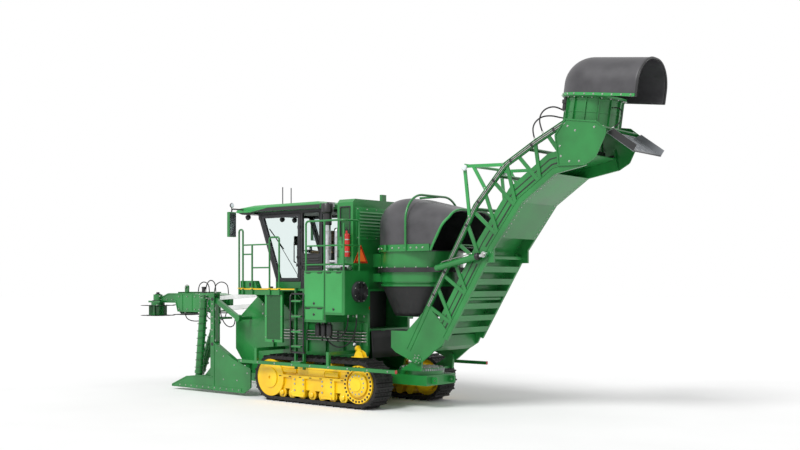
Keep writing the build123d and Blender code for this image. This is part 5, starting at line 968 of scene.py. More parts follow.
def build_cooling():
    """Radiator screens and frames, panels, louvres, grips and the round cooler's finger guard."""
    face = HOUSING_SIDE
    screen = block((-0.68, -0.44), (face - 0.014, face - 0.010), (3.08, 3.61))
    piece("radiator_screens", both(screen), "punched_screen")
    piece("radiator_frames", both(framed((-0.69, -0.43), (3.07, 3.62), face - 0.004, 0.022, 0.012)),
          "black_enamel", bevel=0.002)
    door = both(block((-0.56, -0.40), (face - 0.002, face + 0.006), (2.52, 3.0)))
    rear = block((-0.756, -0.748), (-0.82, 0.82), (3.02, 3.6))
    slats = copies(bar((0, -0.74, 0), (0, 0.74, 0), 0.016, 0.034, (0.5, 0, 1)),
                   [(-0.762, 0, z) for z in np.arange(3.09, 3.57, 0.06)])
    piece("housing_panels", [door, rear], "green_enamel_painted_lit", bevel=0.003)
    piece("housing_louvres", slats, "green_enamel", bevel=0.002)
    grips = both(tube(rounded([(-0.41, face, 2.7), (-0.41, face + 0.03, 2.7), (-0.41, face + 0.03, 2.82),
                               (-0.41, face, 2.82)], 0.012), 0.006, 8))
    heads = bolts([(-0.756, y, z) for y in np.linspace(-0.78, 0.78, 7) for z in (3.05, 3.57)], ASTERN, 0.018)
    piece("housing_grips", grips, "black_enamel")
    piece("housing_bolts", heads, "zinc_plate")
    middle = np.array(COOLER_AT)
    turn = np.linspace(0, 2 * pi, 49)
    rings = [tube(around(middle, r, turn, "yz"), 0.0035, 6) for r in (0.075, 0.095, 0.115, 0.135, 0.155)]
    spokes = [tube(np.linspace(near, far, 3), 0.004, 6)
              for near, far in zip(*(around(middle, r, turn[:-1:6], "yz") for r in (0.06, 0.172)))]
    rim = bolts(around(middle + (0.002, 0, 0), 0.176, turn[3:-1:6], "yz"), ASTERN, 0.014)
    piece("cooler_guard", [*rings, *spokes], "black_enamel")
    piece("cooler_bolts", rim, "zinc_plate")


def build_exhaust():
    """Turned exhaust pipes with cap and clamps, fire bottle fittings and the sign's border."""
    x, y = EXHAUST_AT
    at, beside_it = (x, y, 0), (*SILENCER_AT, 0)
    stack = lathe([(0.004, TANK_TOP), (0.085, TANK_TOP), (0.085, 2.47), (0.07, 2.475), (0.066, 2.5),
                   (0.066, 3.61), (0.051, 3.61), (0.051, 3.58), (0.004, 3.58)], at, UP, 36)
    silencer = lathe([(0.004, TANK_TOP), (0.07, TANK_TOP), (0.07, 2.465), (0.045, 2.47), (0.045, 3.17),
                      (0.038, 3.2), (0.02, 3.225), (0.004, 3.235)], beside_it, UP, 32)
    elbow = tube(rounded([(*SILENCER_AT, 2.62), (-0.235, 0.875, 2.62), (x, y, 2.62)], 0.05), 0.03, 20)
    runback = tube(rounded([(x, y, 2.51), (x - 0.1, y + 0.05, 2.51), (x - 0.62, y + 0.07, 2.51)], 0.05),
                   0.045, 20)
    piece("exhaust_pipes", [stack, silencer, elbow, runback], "aluminised_pipe", angle=40,
          replaces=["exhaust"])
    cap = lathe([(0.066, 3.29), (0.082, 3.3), (0.082, 3.5), (0.112, 3.53), (0.112, 3.67), (0.1, 3.69),
                 (0.07, 3.685), (0.06, 3.63), (0.052, 3.6)], at, UP, 36)
    piece("exhaust_cap", cap, "black_enamel", angle=40)
    bands = [ring(0.0705, 0.064, z, z + 0.022, at, UP, 36) for z in EXHAUST_BANDS_Z]
    bands += [ring(0.049, 0.044, z, z + 0.02, beside_it, UP, 32) for z in (2.55, 2.8, 3.05)]
    ears = [bolts([(x + 0.075, y, z + 0.011)], LEFT, 0.016) for z in EXHAUST_BANDS_Z]
    piece("pipe_bands", [*bands, *ears], "zinc_plate")
    x, y = BOTTLE_AT
    at = (x, y, 0)
    strap = [ring(0.0635, 0.0605, z, z + 0.02, at, UP, 28) for z in (2.78, 3.0)]
    valve = lathe([(0.002, 3.17), (0.02, 3.17), (0.02, 3.2), (0.012, 3.205), (0.012, 3.225), (0.002, 3.225)],
                  at, UP, 18)
    lever = [bar((x - 0.01, y, 3.222), (x + 0.1, y + 0.01, 3.25), 0.018, 0.008),
             bar((x, y, 3.2), (x + 0.09, y + 0.01, 3.205), 0.016, 0.008)]
    hose = tube(rounded([(x, y, 3.19), (x + 0.02, y + 0.05, 3.2), (x + 0.045, y + 0.068, 3.1),
                         (x + 0.05, y + 0.07, 2.86)], 0.04), 0.009, 10)
    piece("bottle_straps", strap, "zinc_plate")
    piece("bottle_valve", [valve, *lever, hose], "black_enamel")
    middle, foot, half = 0.69, 2.59, 0.19
    high = foot + 2 * half * sin(radians(60))
    outer = [(middle - half, foot), (middle + half, foot), (middle, high)]
    heart = np.mean(outer, 0)
    inner = [tuple(heart + 0.72 * (np.array(corner) - heart)) for corner in outer]
    border = [slab([outer[k], outer[(k + 1) % 3], inner[(k + 1) % 3], inner[k]], "yz", -0.7585, -0.7555)
              for k in range(3)]
    piece("sign_border", border, "red_enamel")


# Cab

CAB_SIDE, ROOF_SIDE, ROOF_TOP = 0.76, 0.88, 3.75
LAMP_X, LAMP_Z, LAMP_WAY = 2.23, 3.555, (0.96, 0, -0.28)
MIRROR_AT, ROUND_MIRROR_AT = (2.19, 1.18), (2.17, 1.18, 3.75)
CAB_FLOOR = 2.2003
DOOR_LINE = ((0.72, 2.26), (0.72, 3.56), (1.818, 3.56), (1.32, 2.3), (1.32, 2.26))


def screen_x(z):
    """x of the leaning windscreen's outer face: foot plus lean times the share of its height."""
    return 1.38 + 0.52 * max(0.0, z - 2.3) / 1.32


def seal_loop(corners, y, radius=0.009):
    """Rubber seal round a window: a tube through rounded corners, closed by overlapping its ends."""
    first = (np.array(corners[0]) + np.array(corners[1])) / 2
    line = [first, *corners[1:], corners[0], first]
    return tube(rounded([(x, y, z) for x, z in line], 0.04), radius, 8)


def build_cab():
    """Seals, louvres, sills, handle, lamps, painted shade under and beside the visor, headliner and roof
    beads, mirrors, wiper and antenna feet.
    """
    y = CAB_SIDE + 0.001
    quarter = ((0.21, 2.78), (0.66, 2.78), (0.66, 3.56), (0.21, 3.56))
    seals = [both(seal_loop(DOOR_LINE, y)), both(seal_loop(quarter, y))]
    piece("window_seals", seals, "hose_rubber")
    slats = copies(bar((0.22, 0, 0), (0.64, 0, 0), 0.014, 0.03, (0, -0.6, 1)),
                   [(0, y + 0.004, z) for z in np.arange(2.36, 2.72, 0.05)])
    panel = block((0.19, 0.67), (y - 0.003, y + 0.003), (2.3, 2.74))
    piece("cab_louvres", both(slats, panel), "black_enamel", bevel=0.002)
    sill = block((0.70, 1.37), (y - 0.003, y + 0.006), (2.125, 2.25))
    piece("cab_sills", both(sill), "green_enamel", bevel=0.004)
    grip = tube(rounded([(0.83, y, 2.62), (0.83, y + 0.05, 2.62), (0.83, y + 0.05, 3.02), (0.83, y, 3.02)],
                        0.03), 0.011, 12)
    catch = [disc(0.03, -0.002, 0.014, (0.78, y, 2.72), LEFT, 22, 0.004),
             block((0.755, 0.805), (y, y + 0.02), (2.54, 2.60))]
    piece("door_handle", [grip, *catch], "black_enamel", "door")
    # Painted shade: black slabs under the visor and along the roof's lower sides stand for the shadow under
    # the roof's overhang
    under = slab([(1.9, 3.575), (2.26, 3.585), (2.37, 3.6202), (1.9, 3.6202)], "xz", -0.84, 0.84)
    housings, lenses = [], []
    for at in (-0.66, -0.3, 0.3, 0.66):
        housings.append(lathe([(0.003, 0), (0.03, 0), (0.052, 0.03), (0.052, 0.075), (0.047, 0.075),
                               (0.045, 0.065), (0.003, 0.062)], (LAMP_X, at, LAMP_Z), LAMP_WAY, 28))
        housings.append(block((2.235, 2.275), (at - 0.02, at + 0.02), (3.55, 3.615)))
        lenses.append(disc(0.044, 0.058, 0.068, (LAMP_X, at, LAMP_Z), LAMP_WAY, 28, 0.006))
    for at in (-0.62, 0.62):
        housings.append(slab([(at - 0.09, 3.64), (at + 0.09, 3.64), (at + 0.08, 3.735), (at - 0.08, 3.735)],
                             "yz", 0.03, 0.082))
        lenses.append(slab([(at - 0.075, 3.652), (at + 0.075, 3.652), (at + 0.068, 3.722),
                            (at - 0.068, 3.722)], "yz", 0.026, 0.031))
    flank_shade = slab([(0.09, 3.622), (1.98, 3.622), (1.62, 3.67), (1.5, 3.692), (0.09, 3.692)], "xz",
                 ROOF_SIDE - 0.002, ROOF_SIDE + 0.003)
    piece("visor_painted_shade", weld(under, both(flank_shade)), "black_enamel")
    piece("lamp_housings", housings, "black_enamel", angle=40)
    piece("lamp_lenses", lenses, "clear_lens", angle=40)
    beads = [block((0.2, 1.78), (at - 0.02, at + 0.02), (ROOF_TOP - 0.001, ROOF_TOP + 0.007))
             for at in np.linspace(-0.66, 0.66, 5)]
    piece("roof_beads", beads, "green_enamel_painted_lit", bevel=0.004)
    ceiling = block((0.22, 1.82), (-0.7, 0.7), (3.606, 3.619))
    piece("cab_headliner", ceiling, "headliner")
    shell = block((2.157, 2.226), (1.09, 1.27), (3.13, 3.62))
    glass = block((2.152, 2.1595), (1.10, 1.26), (3.14, 3.61))
    small = lathe([(0.003, 0.0), (0.045, 0.0), (0.05, 0.012), (0.04, 0.035), (0.003, 0.045)], ROUND_MIRROR_AT,
                  AHEAD, 30)
    stem = tube([(*MIRROR_AT, 3.66), (*MIRROR_AT, 3.75)], 0.01, 10)
    small_glass = disc(0.042, -0.004, 0.001, ROUND_MIRROR_AT, AHEAD, 30, 0.002)
    piece("mirror_shells", both(shell), "green_enamel", bevel=0.006)
    piece("round_mirrors", both(small, stem), "cab_plastic")
    piece("mirror_glass", both(glass, small_glass), "silvered_mirror")
    hub = np.array((screen_x(2.36) + 0.012, 0.1, 2.36))
    tip = np.array((screen_x(3.1) + 0.012, 0.42, 3.1))
    blade = [bar(tip + (-0.08, -0.12, -0.2), tip + (0.08, 0.12, 0.2), 0.012, 0.02),
             bar(hub, tip, 0.014, 0.012)]
    piece("wiper", [*blade, disc(0.03, -0.01, 0.012, hub, (0.93, 0, -0.36), 20, 0.004)], "black_enamel")
    feet = [lathe([(0.011, 3.7505), (0.04, 3.7505), (0.036, 3.78), (0.016, 3.82), (0.011, 3.82)],
                  (1.84, at, 0), UP, 20) for at in (-0.12, 0.12)]
    piece("antenna_feet", feet, "hose_rubber", angle=40)


def pad(size, place, power=0.32, channels=0, lean=0.0, counts=(56, 30)):
    """Stuffed pad: superquadric x = a c(u)^p c(v)^p, sewn channels pressed in, leaned by an angle."""
    u = np.linspace(-pi, pi, counts[0], endpoint=False)[:, None]
    v = np.linspace(-pi / 2 + 0.02, pi / 2 - 0.02, counts[1])[None, :]

    def lift(wave):
        return np.sign(wave) * np.abs(wave) ** power

    a, b, c = np.asarray(size) / 2
    x = a * lift(np.cos(u)) * lift(np.cos(v))
    y = b * lift(np.sin(u)) * lift(np.cos(v))
    z = c * lift(np.sin(v)) + 0 * u
    if channels:
        sewn = np.abs(np.cos(channels * pi * (y / (2 * b) + 0.5))) < 0.16
        z = np.where(sewn, z - 0.08 * np.clip(z, 0, None), z)
    turned = np.stack([x * cos(lean) + z * sin(lean), y + 0 * x, z * cos(lean) - x * sin(lean)], -1)
    return grid(turned + np.asarray(place), wrap_u=True, caps=True)


def build_cabin():
    """Sprung seat with sewn pads, console with armrest and lever, steering column, wheel and screen."""
    floor = CAB_FLOOR
    base = [block((0.50, 0.78), (-0.16, 0.16), (floor, floor + 0.05)),
            block((0.47, 0.86), (-0.22, 0.22), (2.40, 2.455)),
            slab([(0.42, 2.5), (0.47, 2.5), (0.36, 3.2), (0.31, 3.2)], "xz", -0.2, 0.2)]
    console = [slab([(0.48, floor), (0.90, floor), (0.95, 2.72), (0.9, 2.78), (0.48, 2.78)], "xz", 0.262,
                    0.45), block((0.5, 0.86), (-0.44, -0.27), (floor, 2.6))]
    piece("seat_base", base + console, "cab_plastic", bevel=0.008, replaces=["cab_interior"])
    folds = [(0.15 if k % 2 else 0.17, floor + 0.05 + 0.022 * k) for k in range(17)]
    bellows = lathe([(0.01, floor + 0.05), *folds, (0.01, floor + 0.402)], (0.64, 0, 0), UP, 28)
    piece("seat_bellows", bellows, "hose_rubber", angle=25)
    for name, shape, fill in (
            ("seat_cushion", pad((0.48, 0.5, 0.15), (0.665, 0, 2.53), channels=4), 0.75),
            ("seat_backrest", pad((0.66, 0.48, 0.12), (0.455, 0, 2.91), channels=4, lean=radians(-80)), 0.7),
            ("seat_headrest", pad((0.16, 0.28, 0.09), (0.375, 0, 3.215), lean=radians(-80), counts=(40, 20)),
             0.7),
            ("arm_rest", pad((0.3, 0.1, 0.07), (0.68, 0.33, 2.815), counts=(40, 20)), 0.8)):
        made = piece(name, shape, "seat_weave", angle=60)
        soft = made.modifiers.new("stuffing", "SUBSURF")
        soft.levels = soft.render_levels = 1
    foot, hub = np.array((1.21, 0, floor)), np.array((1.08, 0, 2.84))
    along = (hub - foot) / np.linalg.norm(hub - foot)
    column = tube(np.linspace(foot, hub, 6), np.linspace(0.06, 0.04, 6), 20)
    boot = lathe([(0.03, 0.0), (0.12, 0.0), (0.1, 0.05), (0.085, 0.06), (0.075, 0.11), (0.06, 0.12),
                  (0.05, 0.16), (0.03, 0.16)], (1.21, 0, floor), along, 28)
    first, second, _ = basis(along)
    turn = np.linspace(0, 2 * pi, 61)
    rim = tube(hub + 0.18 * (np.cos(turn)[:, None] * first + np.sin(turn)[:, None] * second), 0.015, 12)
    spokes = [tube(np.linspace(hub - 0.01 * along, hub + 0.175 * (cos(t) * first + sin(t) * second), 4),
                   (0.016, 0.013, 0.011, 0.011), 10) for t in (0.3, 2.4, 4.5)]
    cap = disc(0.05, -0.015, 0.02, hub, along, 24, 0.008)
    piece("steering_column", [column, boot, cap, *spokes], "cab_plastic", angle=40)
    piece("steering_rim", rim, "oiled_grip_and_hole_shade")
    stick = [tube([(0.84, 0.33, 2.77), (0.85, 0.33, 2.86)], 0.012, 12),
             disc(0.026, 0.08, 0.17, (0.84, 0.33, 2.77), (0.1, 0, 1), 20, 0.012)]
    stalk = tube(rounded([(1.0, 0.4, floor + 0.02), (1.12, 0.42, 2.6), (1.12, 0.42, 2.98)], 0.1), 0.014, 10)
    screen = block((1.1, 1.125), (0.30, 0.52), (2.96, 3.14))
    piece("cab_controls", [*stick, stalk, screen], "oiled_grip_and_hole_shade", angle=40)
    mat = block((0.24, 1.28), (-0.66, 0.66), (floor, floor + 0.006))
    ribs = copies(block((0, 0.02), (-0.64, 0.64), (0, 0.004)),
                  [(x, 0, floor + 0.006) for x in np.arange(0.92, 1.15, 0.035)])
    piece("floor_mat", [mat, ribs], "hose_rubber")


# Elevator

# x, z of the side chords' corners, from the foot to the head
UPPER_CHORD = ((-1.74, 1.05), (-2.18, 1.83), (-3.17, 3.52), (-3.75, 4.16), (-4.34, 4.49), (-4.87, 4.75))
LOWER_CHORD = ((-2.54, 1.27), (-3.47, 2.80), (-4.04, 3.57), (-4.66, 4.00), (-5.22, 4.10))
COVER_LINE = ((-3.62, 3.003), (-4.04, 3.57), (-4.66, 4.00))
FOOT_PIN = (-1.93, 0.90)
SIDE_OUT = 0.54
STRAND_RISE = 0.1716
CHAIN_LINKS, SLATS, COVER_BOLTS = 52, 17, 18
FLAP_PIN, HEAD_OUT = (-5.54, 4.54), 0.555
LIFT_PIN, LIFT_EYE, LIFT_Y = (-2.44, 2.49), (-3.40, 2.70), 0.62


def beside(line, distance):
    """A bent (x, z) line moved towards its open upper side, square to the chord of its neighbours."""
    line = np.asarray(line, float)
    run = np.vstack([line[1:2] - line[:1], line[2:] - line[:-2], line[-1:] - line[-2:-1]])
    run /= np.linalg.norm(run, axis=1, keepdims=True)
    return line + distance * np.stack([run[:, 1], -run[:, 0]], -1)


def strip(line, low, high, y):
    """Flat bar along a bent line between two sideways offsets, from y[0] to y[1]."""
    outline = np.vstack([beside(line, low), beside(line, high)[::-1]])
    return slab(outline, "xz", *y)


def paces(line, count):
    """Evenly spaced points on a bent line, by arc length, with the unit direction at each."""
    line = np.asarray(line, float)
    travel = np.concatenate([[0], np.cumsum(np.linalg.norm(np.diff(line, axis=0), axis=1))])
    want = (np.arange(count) + 0.5) / count * travel[-1]
    at = np.stack([np.interp(want, travel, line[:, k]) for k in (0, 1)], -1)
    leg = np.clip(np.searchsorted(travel, want) - 1, 0, len(line) - 2)
    run = np.diff(line, axis=0)[leg]
    return at, run / np.linalg.norm(run, axis=1, keepdims=True)


def laid(outline, at, run, y):
    """An (along, square) outline laid on a point of a line, carried from y[0] to y[1]."""
    outline = np.asarray(outline, float)
    square = np.array((run[1], -run[0]))
    return slab(at + outline[:, :1] * run + outline[:, 1:] * square, "xz", *y)


def build_slew():
    """Turntable gear and bolts, yoke bolts, pin keepers, and the lift cylinders' glands, ports and pipes."""
    turn = full_turn(24)
    table, yoke = around((SLEW_X, 0, 0.72), 0.36, turn), around((SLEW_X, 0, 2.50), 0.775, turn)
    piece("turntable_bolts", bolts(table, UP, 0.026), "zinc_plate", "slew")
    piece("yoke_bolts", bolts(yoke, UP, 0.022), "zinc_plate", "slew")
    teeth = standing((SLEW_X, 0), 0.396, full_turn(60), (0.668, 0.708), 0.024, 0.022)
    piece("turntable_gear", teeth, "worn_steel", "slew")
    keeper = disc(0.062, 0.0, 0.012, (FOOT_PIN[0], 0.5552, FOOT_PIN[1]), LEFT, 28, 0.003)
    heads = bolts([(FOOT_PIN[0] + dx, 0.567, FOOT_PIN[1] + dz)
                   for dx, dz in ((0.03, 0.02), (-0.03, 0.02), (0, -0.036))], LEFT, 0.018)
    lift_cap = disc(0.036, 0.0, 0.012, (LIFT_PIN[0], LIFT_Y + 0.04, LIFT_PIN[1]), LEFT, 24, 0.003)
    piece("pin_keepers", both(keeper, lift_cap), "green_enamel", "slew")
    piece("keeper_bolts", both(heads), "zinc_plate", "slew")
    start = np.array((LIFT_PIN[0], LIFT_Y, LIFT_PIN[1]))
    way = np.array((LIFT_EYE[0], LIFT_Y, LIFT_EYE[1])) - start
    length = np.linalg.norm(way)
    way /= length
    gland = lathe([(0.0315, 0), (0.061, 0), (0.061, 0.05), (0.057, 0.056), (0.046, 0.058), (0.046, 0.075),
                   (0.0315, 0.075)], start + way * (length - 0.17), way, 32)
    piece("lift_glands", both(gland), "black_enamel", "lift_barrel")
    rise = np.array((way[2], 0, -way[0]))
    line = rounded([start + way * 0.10 + rise * 0.05, start + way * 0.10 + rise * 0.078,
                    start + way * 0.74 + rise * 0.078, start + way * 0.74 + rise * 0.05], 0.02)
    ports = [bar(start + way * s + rise * 0.04, start + way * s + rise * 0.066, 0.045, 0.045, way)
             for s in (0.10, 0.74)]
    piece("lift_ports", both(*ports), "green_enamel", "lift_barrel", bevel=0.003)
    piece("lift_pipes", both(tube(line, 0.008, 10)), "zinc_plate", "lift_barrel")
    eye_cap = disc(0.036, 0.0, 0.012, (LIFT_EYE[0], LIFT_Y + 0.04, LIFT_EYE[1]), LEFT, 24, 0.003)
    piece("lift_eye_caps", both(eye_cap), "zinc_plate", "lift_rod")


def build_elevator():
    """Folded slats, chain and rollers, chord lips, side pipes, foot bosses, hoop bolts and lamps."""
    strand = beside(LOWER_CHORD, STRAND_RISE)
    turn = full_turn(12)
    oval = np.stack([0.042 * np.cos(turn) + 0.004 * np.sign(np.cos(turn)), 0.019 * np.sin(turn)], -1)
    links, rollers, slats, studs = [], [], [], []
    for k, (at, run) in enumerate(zip(*paces(strand, CHAIN_LINKS))):
        inset = 0.003 * (k % 2)
        links += [laid(oval, at, run, y)
                  for y in ((0.400 + inset, 0.405 + inset), (0.425 - inset, 0.430 - inset))]
        end = at + run * 0.039
        rollers.append(disc(0.017, 0.405, 0.425, (end[0], 0, end[1]), LEFT, 12))
    fold = [(-0.004, -0.02), (0.05, -0.02), (0.05, -0.012), (0.004, -0.012), (0.004, 0.098), (-0.022, 0.1),
            (-0.026, 0.094), (-0.004, 0.09)]
    for at, run in zip(*paces(strand, SLATS)):
        slats.append(laid(fold, at, run, (-0.398, 0.398)))
        heads = at + run * 0.028 + np.array((run[1], -run[0])) * -0.012
        studs += [bolts([(heads[0], y, heads[1])], (run[1], 0, -run[0]), 0.02, 0.01)
                  for y in (0.3, 0.36, -0.3, -0.36)]
    piece("slat_bars", slats, "black_enamel", "elevator", replaces=["elevator_slats"])
    piece("chain_links", both(*links, *rollers), "track_steel", "elevator")
    piece("slat_bolts", studs, "zinc_plate", "elevator")
    lips = [strip(UPPER_CHORD, *span, (SIDE_OUT - 0.002, SIDE_OUT + 0.009))
            for span in ((0.034, 0.045), (-0.045, -0.034))]
    lips += [strip(LOWER_CHORD, *span, (SIDE_OUT - 0.002, SIDE_OUT + 0.009))
             for span in ((0.044, 0.055), (-0.055, -0.044))]
    piece("chord_lips", both(*lips), "green_enamel", "elevator", bevel=0.002)
    guides = [strip(LOWER_CHORD, *span, (0.511, 0.517)) for span in ((0.105, 0.125), (0.20, 0.215))]
    piece("chain_guides", both(*guides), "black_enamel", "elevator")
    edge = []
    for at, run in zip(*paces(COVER_LINE, COVER_BOLTS)):
        under = at - np.array((run[1], -run[0])) * 0.055
        edge += [bolts([(under[0], y, under[1])], (-run[1], 0, run[0]), 0.018, 0.009)
                 for y in (0.475, -0.475)]
    piece("belly_bolts", edge, "zinc_plate", "elevator")
    pipes, saddles = [], []
    for shift in (-0.016, 0.012):
        flat = beside(UPPER_CHORD, shift)[1:]
        path = np.stack([flat[:, 0], np.full(len(flat), SIDE_OUT + 0.009), flat[:, 1]], -1)
        pipes.append(tube(rounded(path, 0.08), 0.008, 10))
    for at, run in zip(*paces(UPPER_CHORD[1:], 9)):
        saddles.append(laid([(-0.02, -0.034), (0.02, -0.034), (0.02, 0.03), (-0.02, 0.03)], at, run,
                            (SIDE_OUT, SIDE_OUT + 0.019)))
    piece("chord_pipes", both(*pipes), "zinc_plate", "elevator")
    piece("chord_saddles", both(*saddles[:2], *saddles[3:]), "black_enamel", "elevator", bevel=0.003)
    x, z = FOOT_PIN
    boss = ring(0.092, 0.046, 0.0, 0.010, (x, SIDE_OUT, z), LEFT, 32)
    studs = bolts(around((x, SIDE_OUT + 0.009, z), 0.075, turn[::2], "xz"), LEFT, 0.014, 0.006)
    piece("foot_bosses", both(boss), "green_enamel", "elevator", bevel=0.002)
    piece("foot_bolts", both(studs), "zinc_plate", "elevator")
    brackets = [(-3.06, 3.33), (-3.73, 4.166), (-3.38, 3.786)]
    bolted = bolts([(bx + dx, 0.571, bz + dz) for bx, bz in brackets
                    for dx, dz in ((0.012, 0.02), (-0.012, -0.02))], LEFT, 0.02)
    piece("hoop_bolts", both(bolted), "zinc_plate", "elevator")
    eyes = disc(0.05, 0.0, 0.05, (-2.99, 0.585, 4.165), LEFT, 24, 0.012)
    piece("hoop_lamps", both(eyes), "clear_lens", "elevator")


def build_tail():
    """Drum ribs, flange bolts, turning motor, head-plate edging and bolts, the flap's folded ends."""
    turn = full_turn(14)
    ribs = on_tail(standing((0, 0), 0.445, turn, (-0.44, -0.018), 0.012, 0.034))
    belts = [on_tail(ring(0.437, 0.428, z, z + 0.03, ORIGIN, sides=48)) for z in (-0.46, -0.25, -0.06)]
    piece("drum_ribs", [ribs, *belts], "green_enamel", "elevator", bevel=0.002)
    under = around((0, 0, -0.015), 0.475, full_turn(20) + 0.1)
    deck = [(x, s * 0.50, -0.459) for s in (1, -1) for x in (-0.48, -0.36, -0.24, -0.02)]
    heads = [on_tail(bolts(under, (0, 0, -1), 0.02)), on_tail(bolts(deck, UP, 0.022))]
    motor = lathe([(0.003, -0.22), (0.034, -0.22), (0.038, -0.215), (0.038, -0.12), (0.052, -0.118),
                   (0.052, -0.06), (0.030, -0.055), (0.030, -0.0155), (0.003, -0.0155)], (0.33, 0.33, 0), UP,
                   24)
    piece("hood_turn_motor", on_tail(motor), "black_enamel", "elevator")
    plate = ((-4.76, 4.08), (-4.70, 4.56), (-4.88, 4.79), (-5.42, 4.70), (-5.57, 4.58), (-5.57, 4.50),
             (-5.40, 4.16), (-5.22, 4.06))
    out = HEAD_OUT
    piece("head_edging", both(edged(plate, out + 0.006, 0.013, 0.024)), "green_enamel", "elevator",
          bevel=0.002)
    places = [(-4.80, 4.22), (-4.78, 4.38), (-4.95, 4.13), (-5.12, 4.12), (-4.92, 4.68), (-5.05, 4.60),
              (-5.38, 4.62)]
    heads.append(both(bolts([(x, out, z) for x, z in places], LEFT, 0.024)))
    piece("head_bolts", heads, "zinc_plate", "elevator")
    x, z = FLAP_PIN
    fold = [(x - 0.006, z - 0.006), (x - 0.44, z - 0.33), (x - 0.50, z - 0.24), (x - 0.12, z + 0.04)]
    ends = slab(fold, "xz", 0.4648, 0.4672)
    way = np.array((-0.44, -0.33)) / 0.55
    square = np.array((0.33, -0.44)) / 0.55
    tip = np.array((x, z)) + way * 0.53
    lip = slab([tip, tip + way * 0.03, tip + way * 0.03 - square * 0.012, tip - square * 0.012], "xz", -0.45,
               0.45)
    piece("flap_ends", [both(ends), lip], "black_enamel", "flap", bevel=0.001)
    stiff = [laid([(0.06, 0.006), (0.50, 0.006), (0.46, 0.030), (0.10, 0.030)], np.array((x, z)), way,
                  (y - 0.004, y + 0.004)) for y in (-0.3, -0.1, 0.1, 0.3)]
    piece("flap_ribs", stiff, "grey_enamel", "flap")


# Topper

GATHER_AT = (5.45, 0.45)
BOOM_X, BOOM_Z, LINK_Z = (2.01, 3.89), (1.80, 1.67), (2.03, 1.90)
SHACKLE_X, SHACKLE_PIN_Z = 4.99, 2.112


def toothed(radius, depth, count, low, high, place):
    """Saw-toothed disc: the radius falls straight from tooth tip to root, `count` times round."""
    turn = full_turn(3 * count)
    reach = np.tile((radius, radius - depth * 0.2, radius - depth), count)
    outline = np.stack([reach * np.cos(turn), reach * np.sin(turn)], -1) + np.asarray(place)
    return slab(outline, "xy", low, high)


def build_topper():
    """Gathering drums with toothed discs, side edging, motor caps, shackle, guard rods and pin caps."""
    x, y = GATHER_AT
    turn = full_turn(6)
    for side, s in SIDES:
        body, place = "gather_" + side, (x, s * y)
        core = lathe([(0.004, 1.492), (0.15, 1.492), (0.15, 1.52), (0.135, 1.53), (0.135, 1.70), (0.15, 1.71),
                      (0.15, 1.788), (0.004, 1.788)], (x, s * y, 0), UP, 36)
        fins = standing(place, 0.15, turn, (1.515, 1.718), 0.012, 0.10)
        piece("gather_core_" + side, [core, fins], "green_enamel", body, replaces=["topper_drum_" + side])
        discs = [toothed(0.378, 0.055, 14, z, z + 0.010, place) for z in (1.501, 1.721)]
        piece("gather_discs_" + side, discs, "track_steel", body, bevel=0.0015)
        heads = around((x, s * y, 1.731), 0.22, turn + 0.3)
        piece("gather_bolts_" + side, bolts(heads, UP, 0.022), "zinc_plate", body)
    panel = [(3.97, 1.615), (3.97, 1.95), (4.2, 1.985), (5.1, 1.985), (5.29, 1.92), (5.58, 1.885),
             (5.58, 1.835), (4.83, 1.835), (4.76, 1.615)]
    edging = edged(panel, 0.445, 0.014, 0.022)
    uprights = [block((at, at + 0.03), (0.438, 0.450), (1.62, 1.98)) for at in (4.28, 4.60)]
    deck = [block((at, at + 0.012), (-0.40, 0.40), (1.995, 2.03)) for at in (4.3, 4.55, 4.8)]
    piece("topper_edging", weld(both(edging, *uprights), *deck), "green_enamel", "topper", bevel=0.002)
    heads = [(at, 0.448, z) for at in (4.02, 4.18, 4.44, 4.72) for z in (1.66, 1.93)]
    heads += [(at, 0.448, 1.86) for at in (4.95, 5.15, 5.35, 5.52)]
    piece("topper_bolts", both(bolts(heads, LEFT, 0.02)), "zinc_plate", "topper")
    cap = lathe([(0.003, 1.968), (0.06, 1.968), (0.06, 1.985), (0.035, 1.99), (0.035, 2.02), (0.003, 2.02)],
                (x, y, 0), UP, 28)
    seat = ring(0.125, 0.095, 1.829, 1.842, (x, y, 0), UP, 36)
    piece("gather_motor_caps", both(cap, seat), "black_enamel", "topper")
    ports = [disc(0.018, 0.0, 0.045, (x - 0.095, y + dy, 1.93), ASTERN, 14, 0.003) for dy in (0.04, -0.04)]
    piece("gather_ports", both(*ports), "zinc_plate", "topper")
    bow = np.linspace(-0.5, pi + 0.5, 22)
    shackle = np.stack([np.full(22, SHACKLE_X), 0.055 * np.cos(bow), 2.135 + 0.045 * np.sin(bow)], -1)
    pin = [(SHACKLE_X, across, SHACKLE_PIN_Z) for across in (-0.062, 0, 0.062)]
    piece("lifting_shackle", [tube(shackle, 0.010, 10), tube(pin, 0.011, 10)], "zinc_plate", "topper")
    guard = tube(rounded([(3.96, 0.40, 1.60), (3.99, 0.40, 1.565), (4.70, 0.40, 1.565), (4.75, 0.40, 1.60)],
                         0.03), 0.012, 10)
    piece("topper_guard_rods", both(guard), "black_enamel", "topper")
    for name, body, level, half in (("boom", "boom", BOOM_Z, 0.215), ("link", "boom_link", LINK_Z, 0.062)):
        ends = [disc(0.05, 0.0, 0.008, (at, half - 0.004, z), LEFT, 24, 0.002)
                for at, z in zip(BOOM_X, level)]
        piece(name + "_eye_rims", both(*ends), "black_enamel", body)
    caps = [disc(0.034, 0.0, 0.010, (BOOM_X[1], 0.29, z), LEFT, 20, 0.003) for z in (BOOM_Z[1], LINK_Z[1])]
    piece("topper_pin_caps", both(*caps), "zinc_plate", "topper")


# Crop dividers and feed train

